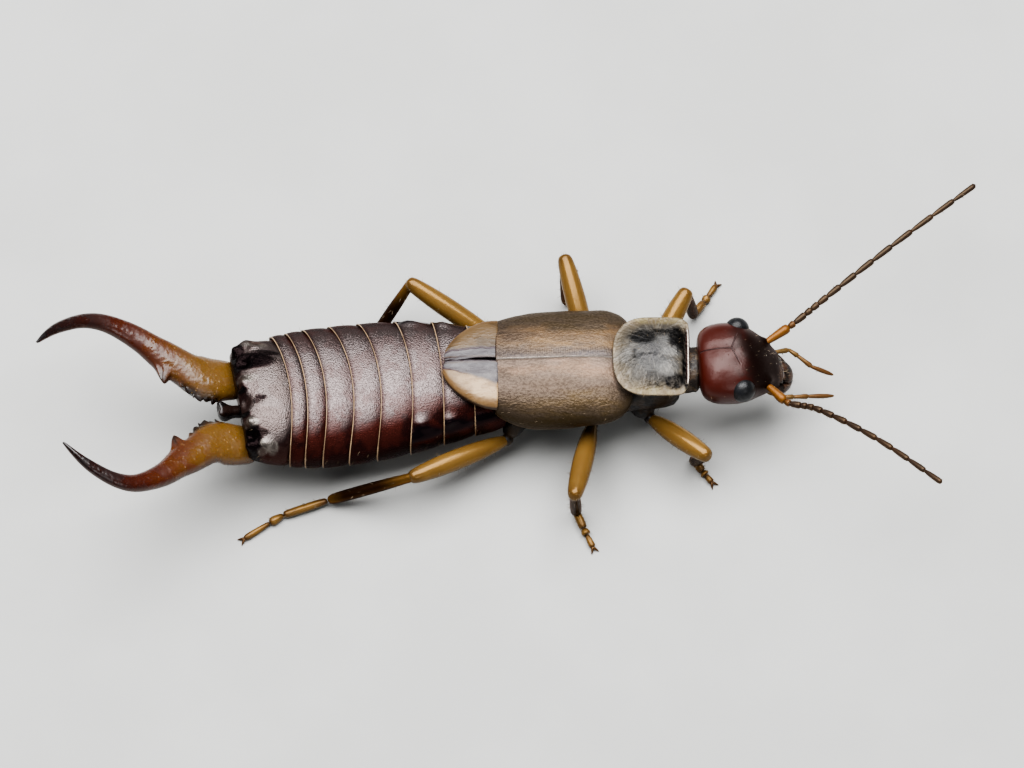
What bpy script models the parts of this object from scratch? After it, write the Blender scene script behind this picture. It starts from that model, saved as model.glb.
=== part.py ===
"""A life-size still model of a male earwig with open forceps, standing on its six feet.

Everything is laid out in millimetres with the head toward +X, the insect's left side toward +Y and the
floor at zero, then scaled to metres and moved so that the middle of its footprint is the origin.
"""

import math

import bmesh
import bpy
from mathutils import Matrix, Vector

millimetre = 0.001
footprint_middle = Vector((-0.06, 0.43, 0.0))
least_gap = 0.1
left, right = 1, -1

# how square the cross-sections are: two is an ellipse
body_power = 2.25
thin_power = 2.0
plate_power = 2.4

ring_sides_body = 32
ring_sides_leg = 12
ring_sides_feeler = 8
ring_sides_forceps = 16
smooth_angle = math.radians(40)

# the pose of the body: the tail end swings to the right, the head a little to the left
abdomen_yaw = math.radians(11)
head_yaw = math.radians(4)
head_base = Vector((4.66, 0.12, 2.16))
forceps_base = Vector((-6.88, -0.902, 0.0))
forceps_root_height = 1.57

eye_radii = (0.25, 0.13, 0.23)
eye_gap = 0.05
eye_aside = 0.92

margin_step = 0.05
pronotum_thickness = 0.14
coxa_thickness = {"front": 0.30, "middle": 0.35, "hind": 0.35}
knee_size = 0.20
shin_size = 0.16
ankle_size = 0.17
foot_height = 0.13

antenna_joints = 12
antenna_sizes = (0.25, 0.20)
palp_joints = 4
palp_sizes = (0.19, 0.14)

# for each leg: the start of the femur, the knee, the end of the tibia, the middle of the foot and its toe
legs = {
    "front_left": (
        (3.46, 0.90, 0.98),
        (4.43, 2.50, 1.80),
        (4.60, 2.61, 0.22),
        (4.88, 3.02, 0.13),
        (5.19, 3.53, 0.08),
    ),
    "front_right": (
        (3.48, -0.76, 0.97),
        (4.91, -2.13, 1.50),
        (4.57, -1.56, 0.22),
        (4.79, -1.83, 0.13),
        (5.01, -2.10, 0.08),
    ),
    "middle_left": (
        (1.98, 1.06, 0.88),
        (1.30, 3.43, 1.90),
        (1.38, 3.02, 0.22),
        (1.46, 3.42, 0.13),
        (1.56, 3.90, 0.08),
    ),
    "middle_right": (
        (2.00, -0.90, 0.88),
        (1.53, -3.45, 1.88),
        (1.60, -2.98, 0.22),
        (1.80, -3.44, 0.13),
        (2.02, -3.92, 0.08),
    ),
    "hind_left": (
        (-0.10, 1.38, 0.71),
        (-2.65, 2.73, 1.79),
        (-3.50, 1.95, 0.22),
        (-4.36, 1.86, 0.13),
        (-5.20, 1.76, 0.08),
    ),
    "hind_right": (
        (-0.14, -1.27, 0.80),
        (-2.55, -2.66, 1.40),
        (-4.62, -2.68, 0.22),
        (-5.76, -3.06, 0.13),
        (-6.68, -3.68, 0.08),
    ),
}

# the base colour and roughness of each kind of part
finishes = {
    "abdomen": ((0.05, 0.02, 0.018, 1), 0.30),
    "last_segment": ((0.02, 0.01, 0.01, 1), 0.25),
    "pygidium": ((0.01, 0.008, 0.008, 1), 0.25),
    "forceps": ((0.30, 0.09, 0.015, 1), 0.25),
    "thorax": ((0.05, 0.025, 0.015, 1), 0.40),
    "wing_cover": ((0.28, 0.20, 0.15, 1), 0.40),
    "wing_packet": ((0.55, 0.38, 0.20, 1), 0.40),
    "pronotum": ((0.16, 0.14, 0.13, 1), 0.40),
    "neck": ((0.08, 0.03, 0.02, 1), 0.45),
    "head": ((0.14, 0.025, 0.015, 1), 0.25),
    "eye": ((0.01, 0.01, 0.012, 1), 0.20),
    "mouthparts": ((0.10, 0.03, 0.015, 1), 0.35),
    "palp": ((0.45, 0.25, 0.08, 1), 0.40),
    "antenna": ((0.24, 0.14, 0.09, 1), 0.50),
    "femur": ((0.50, 0.28, 0.07, 1), 0.35),
    "tibia": ((0.42, 0.22, 0.05, 1), 0.35),
    "tarsus": ((0.40, 0.20, 0.06, 1), 0.40),
}


def clear_scene():
    for thing in list(bpy.data.objects):
        bpy.data.objects.remove(thing, do_unlink=True)


def between(rows, steps):
    """The rows with steps in-between rows on each span, along a Catmull-Rom curve."""
    out = []
    last = len(rows) - 1
    for i in range(last):
        before, start, end, after = (rows[max(i - 1, 0)], rows[i], rows[i + 1], rows[min(i + 2, last)])
        for k in range(steps):
            t = k / steps
            out.append(
                tuple(
                    0.5
                    * (
                        2 * b
                        + (c - a) * t
                        + (2 * a - 5 * b + 4 * c - d) * t * t
                        + (3 * b - a - 3 * c + d) * t * t * t
                    )
                    for a, b, c, d in zip(before, start, end, after)
                )
            )
    out.append(tuple(rows[last]))
    return out


def along(start, end, share):
    return start + (end - start) * share


def signed_power(value, power):
    return math.copysign(abs(value) ** power, value)


def ring(centre, side, up, half_width, rise, drop, power, count):
    """One cross-section: an ellipse, squarer as power grows, with its own height above and below."""
    points = []
    for k in range(count):
        angle = 2 * math.pi * (k + 0.5) / count
        across = signed_power(math.cos(angle), 2 / power) * half_width
        upward = signed_power(math.sin(angle), 2 / power)
        points.append(centre + side * across + up * (upward * (rise if upward > 0 else drop)))
    return points


def skin(name, rings):
    """A closed mesh over rings of equal length, with a fan on each end."""
    mesh = bpy.data.meshes.new(name)
    shape = bmesh.new()
    made = [[shape.verts.new(p) for p in points] for points in rings]
    count = len(made[0])
    for first, second in zip(made, made[1:]):
        for k in range(count):
            n = (k + 1) % count
            shape.faces.new((first[k], first[n], second[n], second[k]))
    for end in (made[0], made[-1]):
        middle = shape.verts.new(sum((v.co for v in end), Vector()) / count)
        for k in range(count):
            shape.faces.new((end[k], end[(k + 1) % count], middle))
    bmesh.ops.recalc_face_normals(shape, faces=shape.faces)
    shape.to_mesh(mesh)
    shape.free()
    thing = bpy.data.objects.new(name, mesh)
    bpy.context.scene.collection.objects.link(thing)
    return thing


def loft(name, rows, steps=1, power=thin_power, count=ring_sides_leg, across=Vector((0, 1, 0))):
    """A solid along a path. Each row is x, y, z, half width, height above, height below."""
    full = between(rows, steps)
    centres = [Vector(row[:3]) for row in full]
    rings = []
    for i, row in enumerate(full):
        run = (centres[min(i + 1, len(full) - 1)] - centres[max(i - 1, 0)]).normalized()
        side = (across - run * across.dot(run)).normalized()
        up = side.cross(run)
        if up.z < 0 and abs(up.z) > 0.3:
            up = -up
        rings.append(ring(centres[i], side, up, row[3], row[4], row[5], power, count))
    return skin(name, rings)


def body_loft(name, rows, steps=1, power=body_power, count=ring_sides_body):
    """A solid with upright sections across the body.

    A row may go on with how far its sides are carried back, and with the turn of the section in degrees.
    """
    rings = []
    for row in between(rows, steps):
        centre = Vector(row[:3])
        back, turn = (row[6], math.radians(row[7])) if len(row) > 6 else (0.0, 0.0)
        side = Vector((-math.sin(turn), math.cos(turn), 0))
        points = ring(centre, side, Vector((0, 0, 1)), row[3], row[4], row[5], power, count)
        for p in points:
            p.x -= back * ((p.y - centre.y) / max(row[3], 0.01)) ** 2
        rings.append(points)
    return skin(name, rings)


def keep_largest(thing):
    """Removes every closed surface of the mesh but the one with the most faces."""
    shape = bmesh.new()
    shape.from_mesh(thing.data)
    unseen = set(shape.verts)
    groups = []
    while unseen:
        found, queue = set(), [unseen.pop()]
        while queue:
            vert = queue.pop()
            found.add(vert)
            for edge in vert.link_edges:
                other = edge.other_vert(vert)
                if other in unseen:
                    unseen.discard(other)
                    queue.append(other)
        groups.append(found)
    groups.sort(key=len)
    for group in groups[:-1]:
        bmesh.ops.delete(shape, geom=list(group), context="VERTS")
    shape.to_mesh(thing.data)
    shape.free()


def boolean(base, pieces, operation):
    group = bpy.data.collections.new(base.name + "_pieces")
    bpy.context.scene.collection.children.link(group)
    for piece in pieces:
        bpy.context.scene.collection.objects.unlink(piece)
        group.objects.link(piece)
    change = base.modifiers.new(operation.lower(), "BOOLEAN")
    change.operation = operation
    change.operand_type = "COLLECTION"
    change.collection = group
    change.solver = "EXACT"
    bpy.context.view_layer.update()
    graph = bpy.context.evaluated_depsgraph_get()
    mesh = bpy.data.meshes.new_from_object(base.evaluated_get(graph))
    base.modifiers.clear()
    base.data = mesh
    for piece in pieces:
        bpy.data.objects.remove(piece, do_unlink=True)
    bpy.data.collections.remove(group)
    keep_largest(base)
    return base


def join(base, pieces):
    return boolean(base, pieces, "UNION")


def on_floor(thing):
    """Flattens whatever reaches under the floor into a small flat on it."""
    for vert in thing.data.vertices:
        vert.co.z = max(vert.co.z, 0.0)
    return thing


def plate(name, rows, side_sign, steps=2, points=9, power=plate_power):
    """A curved plate to one side of the midline.

    Each row is x, middle y, inner offset, half width, edge height, top height, thickness.
    """
    rings = []
    for x, middle, inner, half, edge, top, thick in between(rows, steps):
        outside, inside = [], []
        first = math.asin(min(0.95, max(0.02, inner / half)) ** (power / 2))
        for k in range(points):
            angle = first + (math.pi / 2 - first) * k / (points - 1)
            out, high = math.sin(angle) ** (2 / power), max(math.cos(angle), 0.0) ** (2 / power)
            outside.append(Vector((x, middle + side_sign * half * out, edge + (top - edge) * high)))
            low = max(top - edge - thick, 0.0)
            reach = max(half - thick * 0.8 * (k / (points - 1)), 0.02)
            drop = thick * min(1.0, (points - 1 - k) / 2) if low <= 0 else 0.0
            inside.append(Vector((x, middle + side_sign * reach * out, edge - drop + low * high)))
        rings.append(outside + inside[::-1])
    return skin_strips(name, rings, points)


def skin_strips(name, rings, points):
    """A closed mesh over rings made of an outer and an inner line, each end closed strip by strip."""
    mesh = bpy.data.meshes.new(name)
    shape = bmesh.new()
    made = [[shape.verts.new(p) for p in line] for line in rings]
    count = 2 * points
    for first, second in zip(made, made[1:]):
        for k in range(count):
            n = (k + 1) % count
            shape.faces.new((first[k], first[n], second[n], second[k]))
    for end in (made[0], made[-1]):
        for k in range(points - 1):
            shape.faces.new((end[k], end[k + 1], end[count - 2 - k], end[count - 1 - k]))
    bmesh.ops.recalc_face_normals(shape, faces=shape.faces)
    shape.to_mesh(mesh)
    shape.free()
    thing = bpy.data.objects.new(name, mesh)
    bpy.context.scene.collection.objects.link(thing)
    return thing


def finish():
    """Scales every node to metres about the middle of its footprint, shades it and gives it a material."""
    for thing in bpy.context.scene.collection.objects:
        for vert in thing.data.vertices:
            vert.co = (vert.co - footprint_middle) * millimetre
        thing.data.shade_smooth()
        thing.data.set_sharp_from_angle(angle=smooth_angle)
        colour, roughness = next(finishes[key] for key in finishes if thing.name.startswith(key))
        paint = bpy.data.materials.new(thing.name)
        paint.use_nodes = True
        shader = paint.node_tree.nodes["Principled BSDF"]
        shader.inputs["Base Color"].default_value = colour
        shader.inputs["Roughness"].default_value = roughness
        shader.inputs["Metallic"].default_value = 0.0
        thing.data.materials.append(paint)


def abdomen():
    """Tergites two to nine: each wider at its rear margin than the front of the next one under it."""
    # x of the rear margin, centre y and z there, half width, half height, sweep and turn of the margin
    margins = (
        (-0.92, 0.07, 1.43, 1.46, 0.92, 0.00, 4.0),
        (-1.70, 0.00, 1.43, 1.66, 0.95, 0.06, 6.0),
        (-2.45, -0.11, 1.45, 1.80, 0.96, 0.14, 6.5),
        (-3.22, -0.23, 1.47, 1.88, 0.96, 0.20, 7.0),
        (-3.92, -0.34, 1.50, 1.90, 0.95, 0.22, 7.5),
        (-4.60, -0.45, 1.55, 1.89, 0.94, 0.22, 8.0),
        (-5.10, -0.54, 1.61, 1.84, 0.92, 0.22, 8.3),
        (-5.42, -0.60, 1.66, 1.78, 0.90, 0.22, 8.6),
    )
    rows = [
        (-0.24, 0.08, 1.42, 0.96, 0.76, 0.76, 0.0, 2.0),
        (-0.36, 0.08, 1.42, 1.08, 0.84, 0.82, 0.0, 2.0),
    ]
    for x, y, z, half, tall, sweep, turn in margins:
        rows.append((x + 0.28, y + 0.02, z, half, tall, tall * 0.95, sweep, turn))
        rows.append((x, y, z, half + 0.005, tall + 0.005, tall * 0.95, sweep, turn))
        if x != margins[-1][0]:
            under = tall - margin_step
            rows.append((x - 0.03, y, z, half - margin_step + 0.01, under, under - 0.05 * tall, sweep, turn))
    # the raised gland folds low on the back of the third and fourth rings, in body places
    folds = ((-1.40, -1.30, 2.06), (-2.18, -1.42, 2.06), (-1.72, 1.36, 2.04), (-2.62, 1.34, 2.02))
    bumps = [ball("fold", Vector(place), (0.17, 0.12, 0.10), math.radians(6), sides=10) for place in folds]
    join(body_loft("abdomen", rows, steps=1), bumps)


def last_segment():
    rows = (
        (-5.53, -0.62, 1.67, 1.66, 0.84, 0.80, 0.22, 8.6),
        (-5.70, -0.64, 1.70, 1.74, 0.87, 0.82, 0.20, 9.0),
        (-6.10, -0.70, 1.75, 1.70, 0.86, 0.78, 0.12, 9.5),
        (-6.45, -0.77, 1.78, 1.60, 0.80, 0.72, 0.04, 10.0),
        (-6.70, -0.82, 1.79, 1.50, 0.66, 0.66, 0.00, 11.0),
        (-6.80, -0.84, 1.79, 1.36, 0.50, 0.52, 0.00, 11.0),
    )
    # the raised hind corners, then the two swellings over the roots of the pincers
    knobs = (
        ((-6.78, 0.58, 1.98), (0.18, 0.16, 0.24)),
        ((-6.40, -2.28, 1.96), (0.18, 0.16, 0.24)),
        ((-6.62, -0.26, 2.36), (0.24, 0.24, 0.18)),
        ((-6.46, -1.32, 2.34), (0.24, 0.24, 0.18)),
    )
    bumps = [ball("knob", Vector(place), radii, abdomen_yaw, sides=10) for place, radii in knobs]
    join(body_loft("last_segment", rows, steps=1), bumps)


def thorax():
    rows = (
        (-0.12, 0.06, 1.55, 0.86, 0.50, 0.62),
        (0.20, 0.06, 1.55, 1.04, 0.68, 0.80),
        (1.20, 0.08, 1.55, 1.08, 0.72, 0.82),
        (2.00, 0.09, 1.55, 0.98, 0.70, 0.82),
        (2.80, 0.10, 1.55, 0.88, 0.56, 0.78),
        (3.16, 0.10, 1.58, 0.82, 0.58, 0.75),
        (3.28, 0.10, 1.60, 0.84, 1.00, 0.74),
        (3.90, 0.11, 1.62, 0.82, 0.99, 0.66),
        (4.22, 0.12, 1.65, 0.72, 0.86, 0.48),
    )
    base = body_loft("thorax", rows, steps=1)
    coxae = []
    for name, joints in legs.items():
        foot_of_coxa, out = Vector(joints[0]), (Vector(joints[1]) - Vector(joints[0])).normalized()
        inner = Vector((foot_of_coxa.x - out.x * 0.6, 0.08 + (foot_of_coxa.y - 0.08) * 0.3, 1.15))
        thick = coxa_thickness[name.split("_")[0]]
        rows = [(*inner, thick, thick, thick)]
        for back, size in ((0.42, thick), (0.26, 0.26), (least_gap, 0.17)):
            rows.append((*(foot_of_coxa - out * back), size, size, size))
        coxae.append(loft(f"coxa_{name}", rows, across=Vector((1, 0, 0))))
    join(base, coxae)


def wing_covers():
    rows = (
        (-0.42, 0.06, 0.05, 1.24, 2.12, 2.60, 0.16),
        (-0.30, 0.06, 0.05, 1.33, 2.02, 2.61, 0.18),
        (0.00, 0.06, 0.05, 1.46, 1.93, 2.63, 0.20),
        (0.55, 0.07, 0.05, 1.60, 1.87, 2.65, 0.22),
        (1.15, 0.08, 0.05, 1.61, 1.90, 2.67, 0.22),
        (1.90, 0.10, 0.05, 1.58, 1.98, 2.68, 0.22),
        (2.30, 0.11, 0.05, 1.52, 2.04, 2.65, 0.22),
        (2.62, 0.11, 0.05, 1.38, 2.08, 2.56, 0.20),
        (2.88, 0.12, 0.05, 1.14, 2.10, 2.46, 0.16),
        (3.02, 0.12, 0.05, 0.92, 2.12, 2.38, 0.12),
    )
    plate("wing_cover_left", rows, left)
    plate("wing_cover_right", rows, right)


def wing_packets():
    rows = (
        (-0.52, 0.07, 0.06, 1.20, 2.30, 2.60, 0.16),
        (-0.90, 0.06, 0.06, 1.07, 2.34, 2.60, 0.16),
        (-1.25, 0.04, 0.06, 0.86, 2.38, 2.60, 0.14),
        (-1.52, 0.02, 0.06, 0.60, 2.42, 2.58, 0.12),
        (-1.68, 0.01, 0.06, 0.34, 2.45, 2.56, 0.10),
    )
    plate("wing_packet_left", rows, left, points=7)
    plate("wing_packet_right", rows, right, points=7)


def pronotum():
    """The flat shield behind the head, with its hind part over the wing covers."""
    # x, middle y, half width, top at the middle, top at the edge
    rows = (
        (2.50, 0.09, 0.66, 2.84, 2.80),
        (2.56, 0.09, 0.86, 2.86, 2.80),
        (2.75, 0.09, 1.02, 2.88, 2.80),
        (3.10, 0.10, 1.10, 2.90, 2.79),
        (3.60, 0.10, 1.11, 2.90, 2.72),
        (4.05, 0.11, 1.08, 2.86, 2.62),
        (4.28, 0.12, 1.01, 2.80, 2.55),
        (4.38, 0.12, 0.90, 2.75, 2.54),
        (4.42, 0.12, 0.74, 2.72, 2.55),
    )
    points = 13
    rings = []
    for x, middle, half, top, edge in rows:
        over, under = [], []
        for k in range(points):
            share = 2 * k / (points - 1) - 1
            high = edge + (top - edge) * (1 - share * share) + 0.04 * share**8
            over.append(Vector((x, middle + half * share, high)))
            under.append(Vector((x, middle + half * 0.97 * share, high - pronotum_thickness)))
        rings.append(over + under[::-1])
    skin_strips("pronotum", rings, points)


def in_head(forward, aside, up):
    """A point given from the back of the head along, across and above its own axis."""
    return head_base + Vector(
        (
            forward * math.cos(head_yaw) - aside * math.sin(head_yaw),
            forward * math.sin(head_yaw) + aside * math.cos(head_yaw),
            up,
        )
    )


def ball(name, centre, radii, turn=0.0, sides=14):
    """A closed ellipsoid turned about the upright."""
    mesh = bpy.data.meshes.new(name)
    shape = bmesh.new()
    bmesh.ops.create_uvsphere(shape, u_segments=sides, v_segments=sides * 2 // 3, radius=1.0)
    for vert in shape.verts:
        stretched = Vector(a * b for a, b in zip(vert.co, radii))
        stretched.rotate(Matrix.Rotation(turn, 3, "Z"))
        vert.co = centre + stretched
    shape.to_mesh(mesh)
    shape.free()
    thing = bpy.data.objects.new(name, mesh)
    bpy.context.scene.collection.objects.link(thing)
    return thing


def head():
    # forward, height of the axis, half width, rise, drop
    table = (
        (0.00, 0.00, 0.66, 0.40, 0.42),
        (0.06, 0.00, 0.86, 0.52, 0.52),
        (0.22, 0.00, 1.00, 0.60, 0.60),
        (0.50, 0.00, 1.07, 0.66, 0.64),
        (0.85, -0.01, 1.08, 0.66, 0.64),
        (1.15, -0.04, 1.02, 0.62, 0.62),
        (1.40, -0.10, 0.90, 0.54, 0.58),
        (1.62, -0.20, 0.76, 0.46, 0.52),
        (1.82, -0.34, 0.62, 0.40, 0.44),
        (1.96, -0.44, 0.52, 0.34, 0.36),
    )
    rows = [(*in_head(f, 0, up), half, rise, drop) for f, up, half, rise, drop in table]
    base = loft("head", rows, power=2.3, count=ring_sides_body, across=in_head(0, 1, 0) - in_head(0, 0, 0))
    sockets = []
    for sign, name in ((left, "left"), (right, "right")):
        middle = in_head(1.12, sign * eye_aside, 0.14)
        ball(f"eye_{name}", middle, eye_radii, head_yaw)
        sockets.append(ball("socket", middle, [r + eye_gap for r in eye_radii], head_yaw))
    boolean(base, sockets, "DIFFERENCE")


def mouthparts():
    """The upper lip over two blunt jaws and the lower lip."""
    across = in_head(0, 1, 0) - in_head(0, 0, 0)
    rows = (
        (*in_head(2.05, 0.0, -0.52), 0.38, 0.16, 0.26),
        (*in_head(2.20, 0.0, -0.62), 0.36, 0.16, 0.24),
        (*in_head(2.33, 0.0, -0.72), 0.28, 0.13, 0.18),
        (*in_head(2.40, 0.0, -0.80), 0.16, 0.07, 0.08),
    )
    lip = loft("mouthparts", rows, count=16, across=across)
    pieces = [ball("lower_lip", in_head(2.10, 0.0, -0.98), (0.18, 0.24, 0.12), head_yaw, sides=10)]
    for sign in (left, right):
        pieces.append(ball("jaw", in_head(2.16, sign * 0.20, -0.82), (0.24, 0.15, 0.20), head_yaw, sides=10))
    join(lip, pieces)


def neck():
    rows = (
        (4.33, 0.12, 1.86, 0.56, 0.38, 0.38),
        (4.45, 0.12, 1.87, 0.60, 0.40, 0.40),
        (4.55, 0.12, 1.88, 0.54, 0.36, 0.36),
    )
    body_loft("neck", rows, count=20)


def feeler(name, path, joints, thick_start, thick_end):
    """A jointed feeler: every joint widens from a narrow start, and the first one is long and stout."""
    waist, first_share, crowding = 0.78, 0.10, 0.92
    line = between(path, 8)
    rows = []
    shares = [0.0, first_share]
    shares += [first_share + (1 - first_share) * (k / joints) ** crowding for k in range(1, joints + 1)]
    for start, end in zip(shares, shares[1:]):
        for part, swell in ((0.0, waist), (0.35, 1.0), (0.85, 1.0)):
            share = start + (end - start) * part
            size = (thick_start + (thick_end - thick_start) * share) * swell
            spot = share * (len(line) - 1)
            low = min(int(spot), len(line) - 2)
            rows.append((*along(Vector(line[low]), Vector(line[low + 1]), spot - low), size, size, size))
    rows.append((*line[-1], thick_end * 0.5, thick_end * 0.5, thick_end * 0.5))
    loft(name, rows, count=ring_sides_feeler)


def feelers():
    antennae = {
        "left": (
            (6.57, 0.97, 2.25),
            (6.95, 1.18, 2.25),
            (8.15, 2.15, 2.45),
            (9.85, 3.50, 2.70),
            (11.66, 4.88, 2.88),
        ),
        "right": (
            (6.49, -0.56, 2.10),
            (6.80, -0.92, 2.15),
            (7.60, -1.28, 2.45),
            (9.00, -2.45, 3.10),
            (10.48, -3.98, 3.76),
        ),
    }
    palps = {
        "left": (
            (6.62, 1.00, 1.52),
            (6.95, 0.96, 1.40),
            (7.25, 0.74, 1.32),
            (7.60, 0.54, 1.20),
            (8.07, 0.46, 1.00),
        ),
        "right": (
            (6.62, -0.42, 1.46),
            (6.95, -0.36, 1.34),
            (7.30, -0.28, 1.24),
            (7.65, -0.21, 1.15),
            (8.07, -0.14, 1.02),
        ),
    }
    for name, path in antennae.items():
        feeler(f"antenna_{name}", path, antenna_joints, *antenna_sizes)
    for name, path in palps.items():
        feeler(f"palp_{name}", path, palp_joints, *palp_sizes)


def rounded(start, end, sizes):
    """Rows of a shaft from start to end, with both ends rounded off. sizes are (share, half thickness)."""
    direction = (end - start).normalized()
    first, last = sizes[0][1], sizes[-1][1]
    rows = [(*along(start, end, share), size * 0.92, size, size) for share, size in sizes]
    # how far past the shaft each end ring lies and how wide it is, as shares of the end's half thickness
    for beyond, part in ((0.5, 0.85), (0.9, 0.5)):
        rows.insert(0, (*(start - direction * first * beyond), *[first * part] * 3))
        rows.append((*(end + direction * last * beyond), *[last * part] * 3))
    return rows


def level_across(direction):
    return Vector((direction.y, -direction.x, 0)).normalized()


def tarsus(name, ankle, middle, toe):
    """A foot of three joints, the second one short and lobed, ending in two claws."""
    out = (toe - ankle).normalized()
    side = level_across(out)
    # share of the way from the ankle to the toe, half width, half height
    shape = (
        (0.00, 0.10, 0.10),
        (0.05, 0.16, 0.16),
        (0.40, 0.17, 0.17),
        (0.53, 0.15, 0.15),
        (0.56, 0.10, 0.11),
        (0.62, 0.19, 0.12),
        (0.68, 0.17, 0.12),
        (0.71, 0.09, 0.10),
        (0.80, 0.12, 0.13),
        (0.95, 0.13, 0.13),
        (1.00, 0.07, 0.08),
    )
    bend = (middle - along(ankle, toe, 0.55)) * 4
    rows = []
    for share, wide, tall in shape:
        point = along(ankle, toe, share) + bend * share * (1 - share)
        rows.append((point.x, point.y, tall * 0.75, wide, tall, tall))
    claws = []
    for sign in (left, right):
        claw = []
        for reach, spread, size in ((-0.08, 0.03, 0.06), (0.06, 0.10, 0.05), (0.16, 0.14, 0.02)):
            point = toe + out * reach + side * (sign * spread)
            claw.append((point.x, point.y, size + 0.05 * (reach < 0.1), size, size, size))
        claws.append(loft("claw", claw, count=6, across=side))
    return on_floor(join(loft(f"tarsus_{name}", rows, across=side), claws))


def leg(name, joints):
    base, knee, ankle, middle, toe = (Vector(p) for p in joints)
    ankle.z = foot_height
    away = (knee - base).normalized()
    down = (ankle - knee).normalized()
    out = Vector((toe.x - ankle.x, toe.y - ankle.y, 0)).normalized()
    femur_end = knee - away * knee_size
    tibia_start = femur_end + (away + down).normalized() * (knee_size + shin_size + least_gap)
    tibia_end = ankle - (down + out).normalized() * (ankle_size + 0.075 - 0.1 * down.dot(out) + least_gap)
    shaft = ((0.02, 0.14), (0.10, 0.19), (0.28, 0.25), (0.52, 0.28), (0.80, 0.25), (1, knee_size))
    start = base + away * shaft[0][1] * 0.9
    loft(f"femur_{name}", rounded(start, femur_end, shaft), across=level_across(away))
    shin = ((0, shin_size), (0.15, 0.21), (0.4, 0.23), (0.9, 0.21), (1, ankle_size))
    loft(f"tibia_{name}", rounded(tibia_start, tibia_end, shin), across=level_across(down))
    tarsus(name, ankle + out * 0.05, middle, toe)


def in_forceps(back, aside, up):
    """A point behind the body's end: back along the forceps' own midline, aside from it, above it."""
    height = forceps_root_height + 0.45 * back + 0.033 * back * back
    return forceps_base + Vector(
        (
            -back * math.cos(abdomen_yaw) - aside * math.sin(abdomen_yaw),
            -back * math.sin(abdomen_yaw) + aside * math.cos(abdomen_yaw),
            height + up,
        )
    )


def forceps_ring(rows, i, sign):
    """The cross-section of an arm at row i, square to the arm's own run but for the first few at its root."""
    back, outer, inner, thick = rows[i]
    before, after = rows[max(i - 1, 0)], rows[min(i + 1, len(rows) - 1)]
    turn = math.atan2(sum(after[1:3]) - sum(before[1:3]), 2 * (after[0] - before[0]))
    turn = max(min(turn, 1.0), -1.0) * min(1.0, i / 4)
    middle, half = (outer + inner) / 2, (outer - inner) / 2 * math.cos(turn)
    points = []
    for k in range(ring_sides_forceps):
        angle = 2 * math.pi * (k + 0.5) / ring_sides_forceps
        reach = half * signed_power(math.cos(angle), 0.9)
        aside = sign * (middle + reach * math.cos(turn))
        up = thick * signed_power(math.sin(angle), 0.9)
        points.append(in_forceps(back - reach * math.sin(turn), aside, up))
    return points


def forceps():
    # back, outer edge, inner edge, half thickness
    table = (
        (0.04, 1.36, 0.50, 0.30),
        (0.12, 1.48, 0.42, 0.36),
        (0.50, 1.53, 0.34, 0.37),
        (0.80, 1.60, 0.36, 0.36),
        (1.05, 1.72, 0.56, 0.34),
        (1.40, 1.95, 0.84, 0.31),
        (1.75, 2.14, 1.17, 0.28),
        (2.10, 2.33, 1.56, 0.25),
        (2.60, 2.48, 1.92, 0.22),
        (3.05, 2.52, 2.07, 0.19),
        (3.50, 2.43, 2.04, 0.17),
        (3.90, 2.25, 1.88, 0.15),
        (4.25, 2.02, 1.70, 0.13),
        (4.55, 1.74, 1.50, 0.10),
        (4.75, 1.46, 1.34, 0.05),
    )
    # how much shorter each arm is than the table, taken from its outer half
    shorter = {"left": 0.15, "right": 0.35}
    bend, tip = 2.60, table[-1][0]
    # back and aside of the root and of the point of every tooth, and the half width of its root
    teeth = [(1.42, 1.20, 1.68, 0.72, 0.22)]
    for back, aside in ((0.56, 0.28), (0.68, 0.24), (0.81, 0.32), (0.94, 0.42), (1.07, 0.54)):
        teeth.append((back + 0.02, aside + 0.22, back, aside, 0.07))
    for name, sign in (("left", left), ("right", right)):
        squeeze = shorter[name] / (tip - bend)
        rows = []
        for back, *rest in between(table, 2):
            rows.append((back - max(back - bend, 0.0) * squeeze, *rest))
        arm = skin(f"forceps_{name}", [forceps_ring(rows, i, sign) for i in range(len(rows))])
        points = []
        for start, start_aside, end, end_aside, size in teeth:
            tooth = []
            for share, part in ((0.0, 1.0), (0.55, 0.8), (1.0, 0.2)):
                place = in_forceps(along(start, end, share), sign * along(start_aside, end_aside, share), 0.0)
                tooth.append((*place, size * part, size * part * 0.8, size * part * 0.8))
            points.append(loft("tooth", tooth, count=8, across=Vector((1, 0, 0))))
        join(arm, points)


def pygidium():
    rows = []
    for back, size in ((0.10, 0.20), (0.18, 0.26), (0.38, 0.24), (0.46, 0.16)):
        rows.append((*in_forceps(back, 0.0, 0.0), 0.22 * size / 0.26, size, size))
    loft("pygidium", rows, count=14)


clear_scene()
abdomen()
last_segment()
thorax()
wing_covers()
wing_packets()
pronotum()
neck()
head()
mouthparts()
feelers()
for leg_name, leg_joints in legs.items():
    leg(leg_name, leg_joints)
forceps()
pygidium()
finish()
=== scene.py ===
import math
import random
from contextlib import contextmanager

import bmesh
import bpy
from mathutils import Matrix, Vector


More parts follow.
